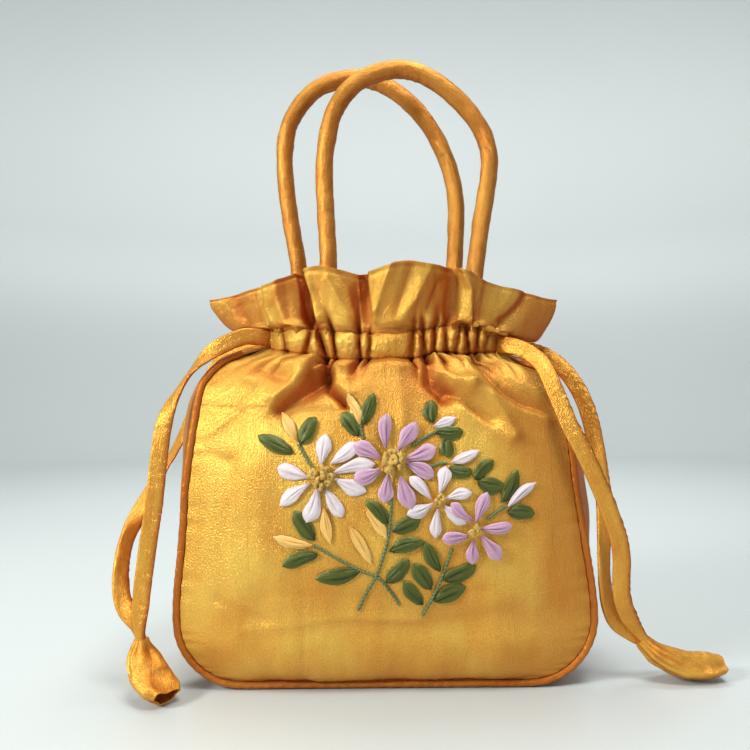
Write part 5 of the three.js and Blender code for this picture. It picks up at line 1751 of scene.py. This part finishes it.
        third = bell(across - 0.55 - 0.2 * math.cos(seed), 0.11) * bell(along - 0.25, 0.4)
        fan = np.sin(across * 11.0 + seed) * bell(along, 0.22)
        creases = 0.34 * groove + 0.2 * second + 0.2 * third + 0.12 * fan
        lift_at = lift + self.rise * np.maximum(high * (arch - creases), 0.05)
        points = self.on_cloth(x, z, lift_at)
        grid = ClothGrid(name, points, wall=0.0003)
        # Painted shade in the creases and at the base.
        shade = 0.8 * groove + 0.55 * second + 0.55 * third + 0.5 * bell(along, 0.16)
        grid.tints["crease"] = np.clip(shade, 0.0, 1.0)
        rim = ease(np.abs(across), 0.74, 1.0) * 0.7
        tip_rim = 0.5 * ease(along, 0.75, 1.0) * abs(math.sin(seed))
        grid.tints["edge"] = np.clip(rim + tip_rim, 0.0, 1.0)
        return grid.sewn()

    def knot(self, at: Array, radius: float, lift: float, seed: int) -> bpy.types.Object:
        """Builds one small wound knot of ribbon, tilted its own way, on the cloth."""
        place_at = self.on_cloth(np.array([[at[0]]]), np.array([[at[1]]]), np.array([[lift]]))[0, 0]
        bpy.ops.object.select_all(action="DESELECT")
        tilt = (math.pi / 2 + 0.35 * math.sin(2.1 * seed), 0.35 * math.cos(3.7 * seed), 0.9 * seed)
        bpy.ops.mesh.primitive_torus_add(
            location=place_at, rotation=tilt, major_segments=22, minor_segments=10,
            major_radius=radius * 0.56, minor_radius=radius * 0.46,
        )
        knot = bpy.context.view_layer.objects.active
        run(bpy.ops.object.transform_apply, knot, location=True, rotation=True, scale=True)
        places = np.array([v.co[:] for v in knot.data.vertices])
        away = places - place_at
        winding = np.sin(np.arctan2(away[:, 2], away[:, 0]) * 3.0 + seed)
        wound = 1.0 + 0.12 * winding + self.knot_dents.over(places)
        knot.data.vertices.foreach_set("co", (place_at + away * wound[:, None]).ravel())
        knot.data.update()
        run(bpy.ops.object.shade_smooth, knot)
        return knot

    def centre(self, flower: Flower, number: int) -> bpy.types.Object:
        """Builds a flower's middle: a ring of knots round one more, or a single pair."""
        middle = self.charted(flower.centre)
        lift = flower.lift + self.rise * 1.25
        is_large = flower.knot > 0.005
        count, radius, ring = (8, 0.0023, 0.0043) if is_large else (4, 0.0017, 0.0018)
        knots = []
        for i in range(count):
            turn = 2.0 * math.pi * (i + 0.3 * math.sin(i * 2.7 + number)) / count
            at = middle + ring * np.array([math.cos(turn), math.sin(turn)])
            knots.append(self.knot(at, radius * (1.0 + 0.12 * math.sin(3.3 * i)), lift, i + 5 * number))
        if is_large:
            knots.append(self.knot(middle + 0.0008, radius * 1.15, lift + 0.0011, 9 + number))
            knots.append(self.knot(middle - 0.0014, radius * 0.9, lift + 0.0010, 12 + number))
        whole = joined(knots, "knots_" + flower.name)
        return place(whole, self.knot_yellow, "yellow_ribbon", "flower_centre_" + flower.name)

    def flower(self, flower: Flower, number: int) -> bpy.types.Object:
        """Builds a flower's petals, each a little higher than the one sewn before."""
        is_white = flower.name.startswith("white")
        petals = []
        for i, ends in enumerate(flower.petals):
            lift = flower.lift + 0.0002 * (i % 3)
            width = flower.width * (1.0 + 0.08 * math.sin(2.9 * i + number))
            petals.append(self.ribbon("petal", ends, Stitch.PETAL, width, lift, i + 10 * number))
        whole = joined(petals, "petals_" + flower.name)
        finish, slot = (self.white, "white_ribbon") if is_white else (self.lilac, "lilac_ribbon")
        return place(whole, finish, slot, "flower_" + flower.name)

    def stem(self, points: tuple[tuple[float, float], ...]) -> bpy.types.Object:
        """Builds one stem as a thick thread of two twisted strands."""
        places = np.array([self.charted(point) for point in points])
        count = max(24, int(np.linalg.norm(np.diff(places, axis=0), axis=1).sum() / 0.0004))
        flat = even_path(places, count)
        path = self.on_cloth(flat[:, :1], flat[:, 1:], np.full((count, 1), self.stem_radius * 0.9))[:, 0]
        turn = turns(14)
        wind = np.arange(count)[:, None] * 0.62
        radius = self.stem_radius * (0.82 + 0.26 * np.cos(2.0 * (turn - wind)))
        tube = Tube("stem", path, radius * np.sin(turn), radius * np.cos(turn))
        return tube.make(np.tile([0.0, -1.0, 0.0], (count, 1)))

    def plant(self, plant: Plant, number: int) -> list[bpy.types.Object]:
        """Builds a sprig's leaves as one piece, and its stems as another."""
        leaves = []
        for i, ends in enumerate(plant.leaves):
            width = self.leaf_width * (1.0 + 0.1 * math.sin(3.1 * i + number))
            lift = 0.0004 + 0.0003 * (i % 2)
            leaves.append(self.ribbon("leaf", ends, Stitch.LEAF, width, lift, i + 7 * number))
        whole = joined(leaves, "leaves_" + plant.name)
        pieces = [place(whole, self.green, "green_ribbon", "green_" + plant.name)]
        if plant.stems:
            stems = joined([self.stem(points) for points in plant.stems], "stems_" + plant.name)
            pieces.append(place(stems, self.stem_green, "green_ribbon"))
        return pieces

    def build(self) -> list[bpy.types.Object]:
        """Returns the spray's pieces, from the greenery up to the knots."""
        pieces = []
        for number, plant in enumerate(self.plants):
            pieces += self.plant(plant, number)
        kinds = (("yellow", self.yellow_buds, self.yellow), ("white", self.white_buds, self.white))
        for colour, buds, finish in kinds:
            for i, ends in enumerate(buds):
                bud = self.ribbon("bud_" + colour, ends, Stitch.BUD, self.bud_width, 0.0008, i + 3)
                bud.name = f"ribbon_bud_{colour}_{i + 1}"
                pieces.append(place(bud, finish, colour + "_ribbon", f"bud_{colour}_{i + 1}"))
        for number, flower in enumerate(self.flowers):
            pieces.append(self.flower(flower, number))
            pieces.append(self.centre(flower, number))
        return pieces


GOLD = ShotSatin("gold_shot_satin", (0.84, 0.56, 0.105), (0.68, 0.295, 0.044), (0.47, 0.120, 0.022))
GOLD_STRING = ShotSatin(
    "gold_string_satin", (0.82, 0.47, 0.080), (0.66, 0.26, 0.036), (0.44, 0.11, 0.018), 0.27, 0.52,
    line_depth=0.00002,
)
# The handles' satin: the gold satin darkened, a shaded copy that paints shade over both handles.
SHADED_GOLD_TUBE = ShotSatin(
    "shaded_gold_tube_satin", (0.70, 0.350, 0.060), (0.53, 0.185, 0.030), (0.35, 0.078, 0.016), 0.27, 0.52,
    line_depth=0.00002,
)
PIPING = ShotSatin(
    "piping_satin", (0.54, 0.19, 0.030), (0.42, 0.105, 0.016), (0.27, 0.045, 0.009), 0.32, 0.4
)
WHITE_RIBBON = Ribbon("white_ribbon", (0.78, 0.70, 0.72), (0.50, 0.34, 0.37), (0.74, 0.50, 0.54))
LILAC_RIBBON = Ribbon("lilac_ribbon", (0.56, 0.32, 0.46), (0.24, 0.09, 0.18), (0.70, 0.50, 0.62))
LEAF_RIBBON = Ribbon(
    "leaf_ribbon", (0.090, 0.110, 0.012), (0.012, 0.020, 0.003), (0.18, 0.20, 0.030), 0.38, 0.35
)
STEM_THREAD = Ribbon("stem_thread", (0.120, 0.180, 0.065), (0.04, 0.075, 0.025), (0.18, 0.26, 0.10), 0.5)
YELLOW_RIBBON = Ribbon("yellow_ribbon", (0.86, 0.52, 0.13), (0.62, 0.28, 0.04), (0.90, 0.66, 0.26))
KNOT_RIBBON = Ribbon("knot_ribbon", (0.82, 0.52, 0.12), (0.45, 0.22, 0.04), (0.86, 0.62, 0.20), 0.45)


def main() -> None:
    """Builds the camera and the strings first, then the bag, its neck, handles and spray."""
    logging.basicConfig(level=logging.INFO, format="%(name)s: %(message)s")
    PhotoCamera().build()
    parts = [Drawstrings(GOLD_STRING.material()).build()]
    Studio().build()
    shape = BagShape()
    satin = GOLD.material()
    body = PouchBody(shape, satin, PIPING.material())
    parts.append(body.build())
    parts.append(Neck(shape, satin).build())
    parts.append(Handles(shape, SHADED_GOLD_TUBE.material()).build())
    spray = Spray(
        body.front_face, WHITE_RIBBON.material(), LILAC_RIBBON.material(), LEAF_RIBBON.material(),
        STEM_THREAD.material(), YELLOW_RIBBON.material(), KNOT_RIBBON.material(),
    )
    parts.append(spray.build())
    LOG.info("%d pieces in all", sum(len(part) for part in parts))


if __name__ == "__main__":
    main()
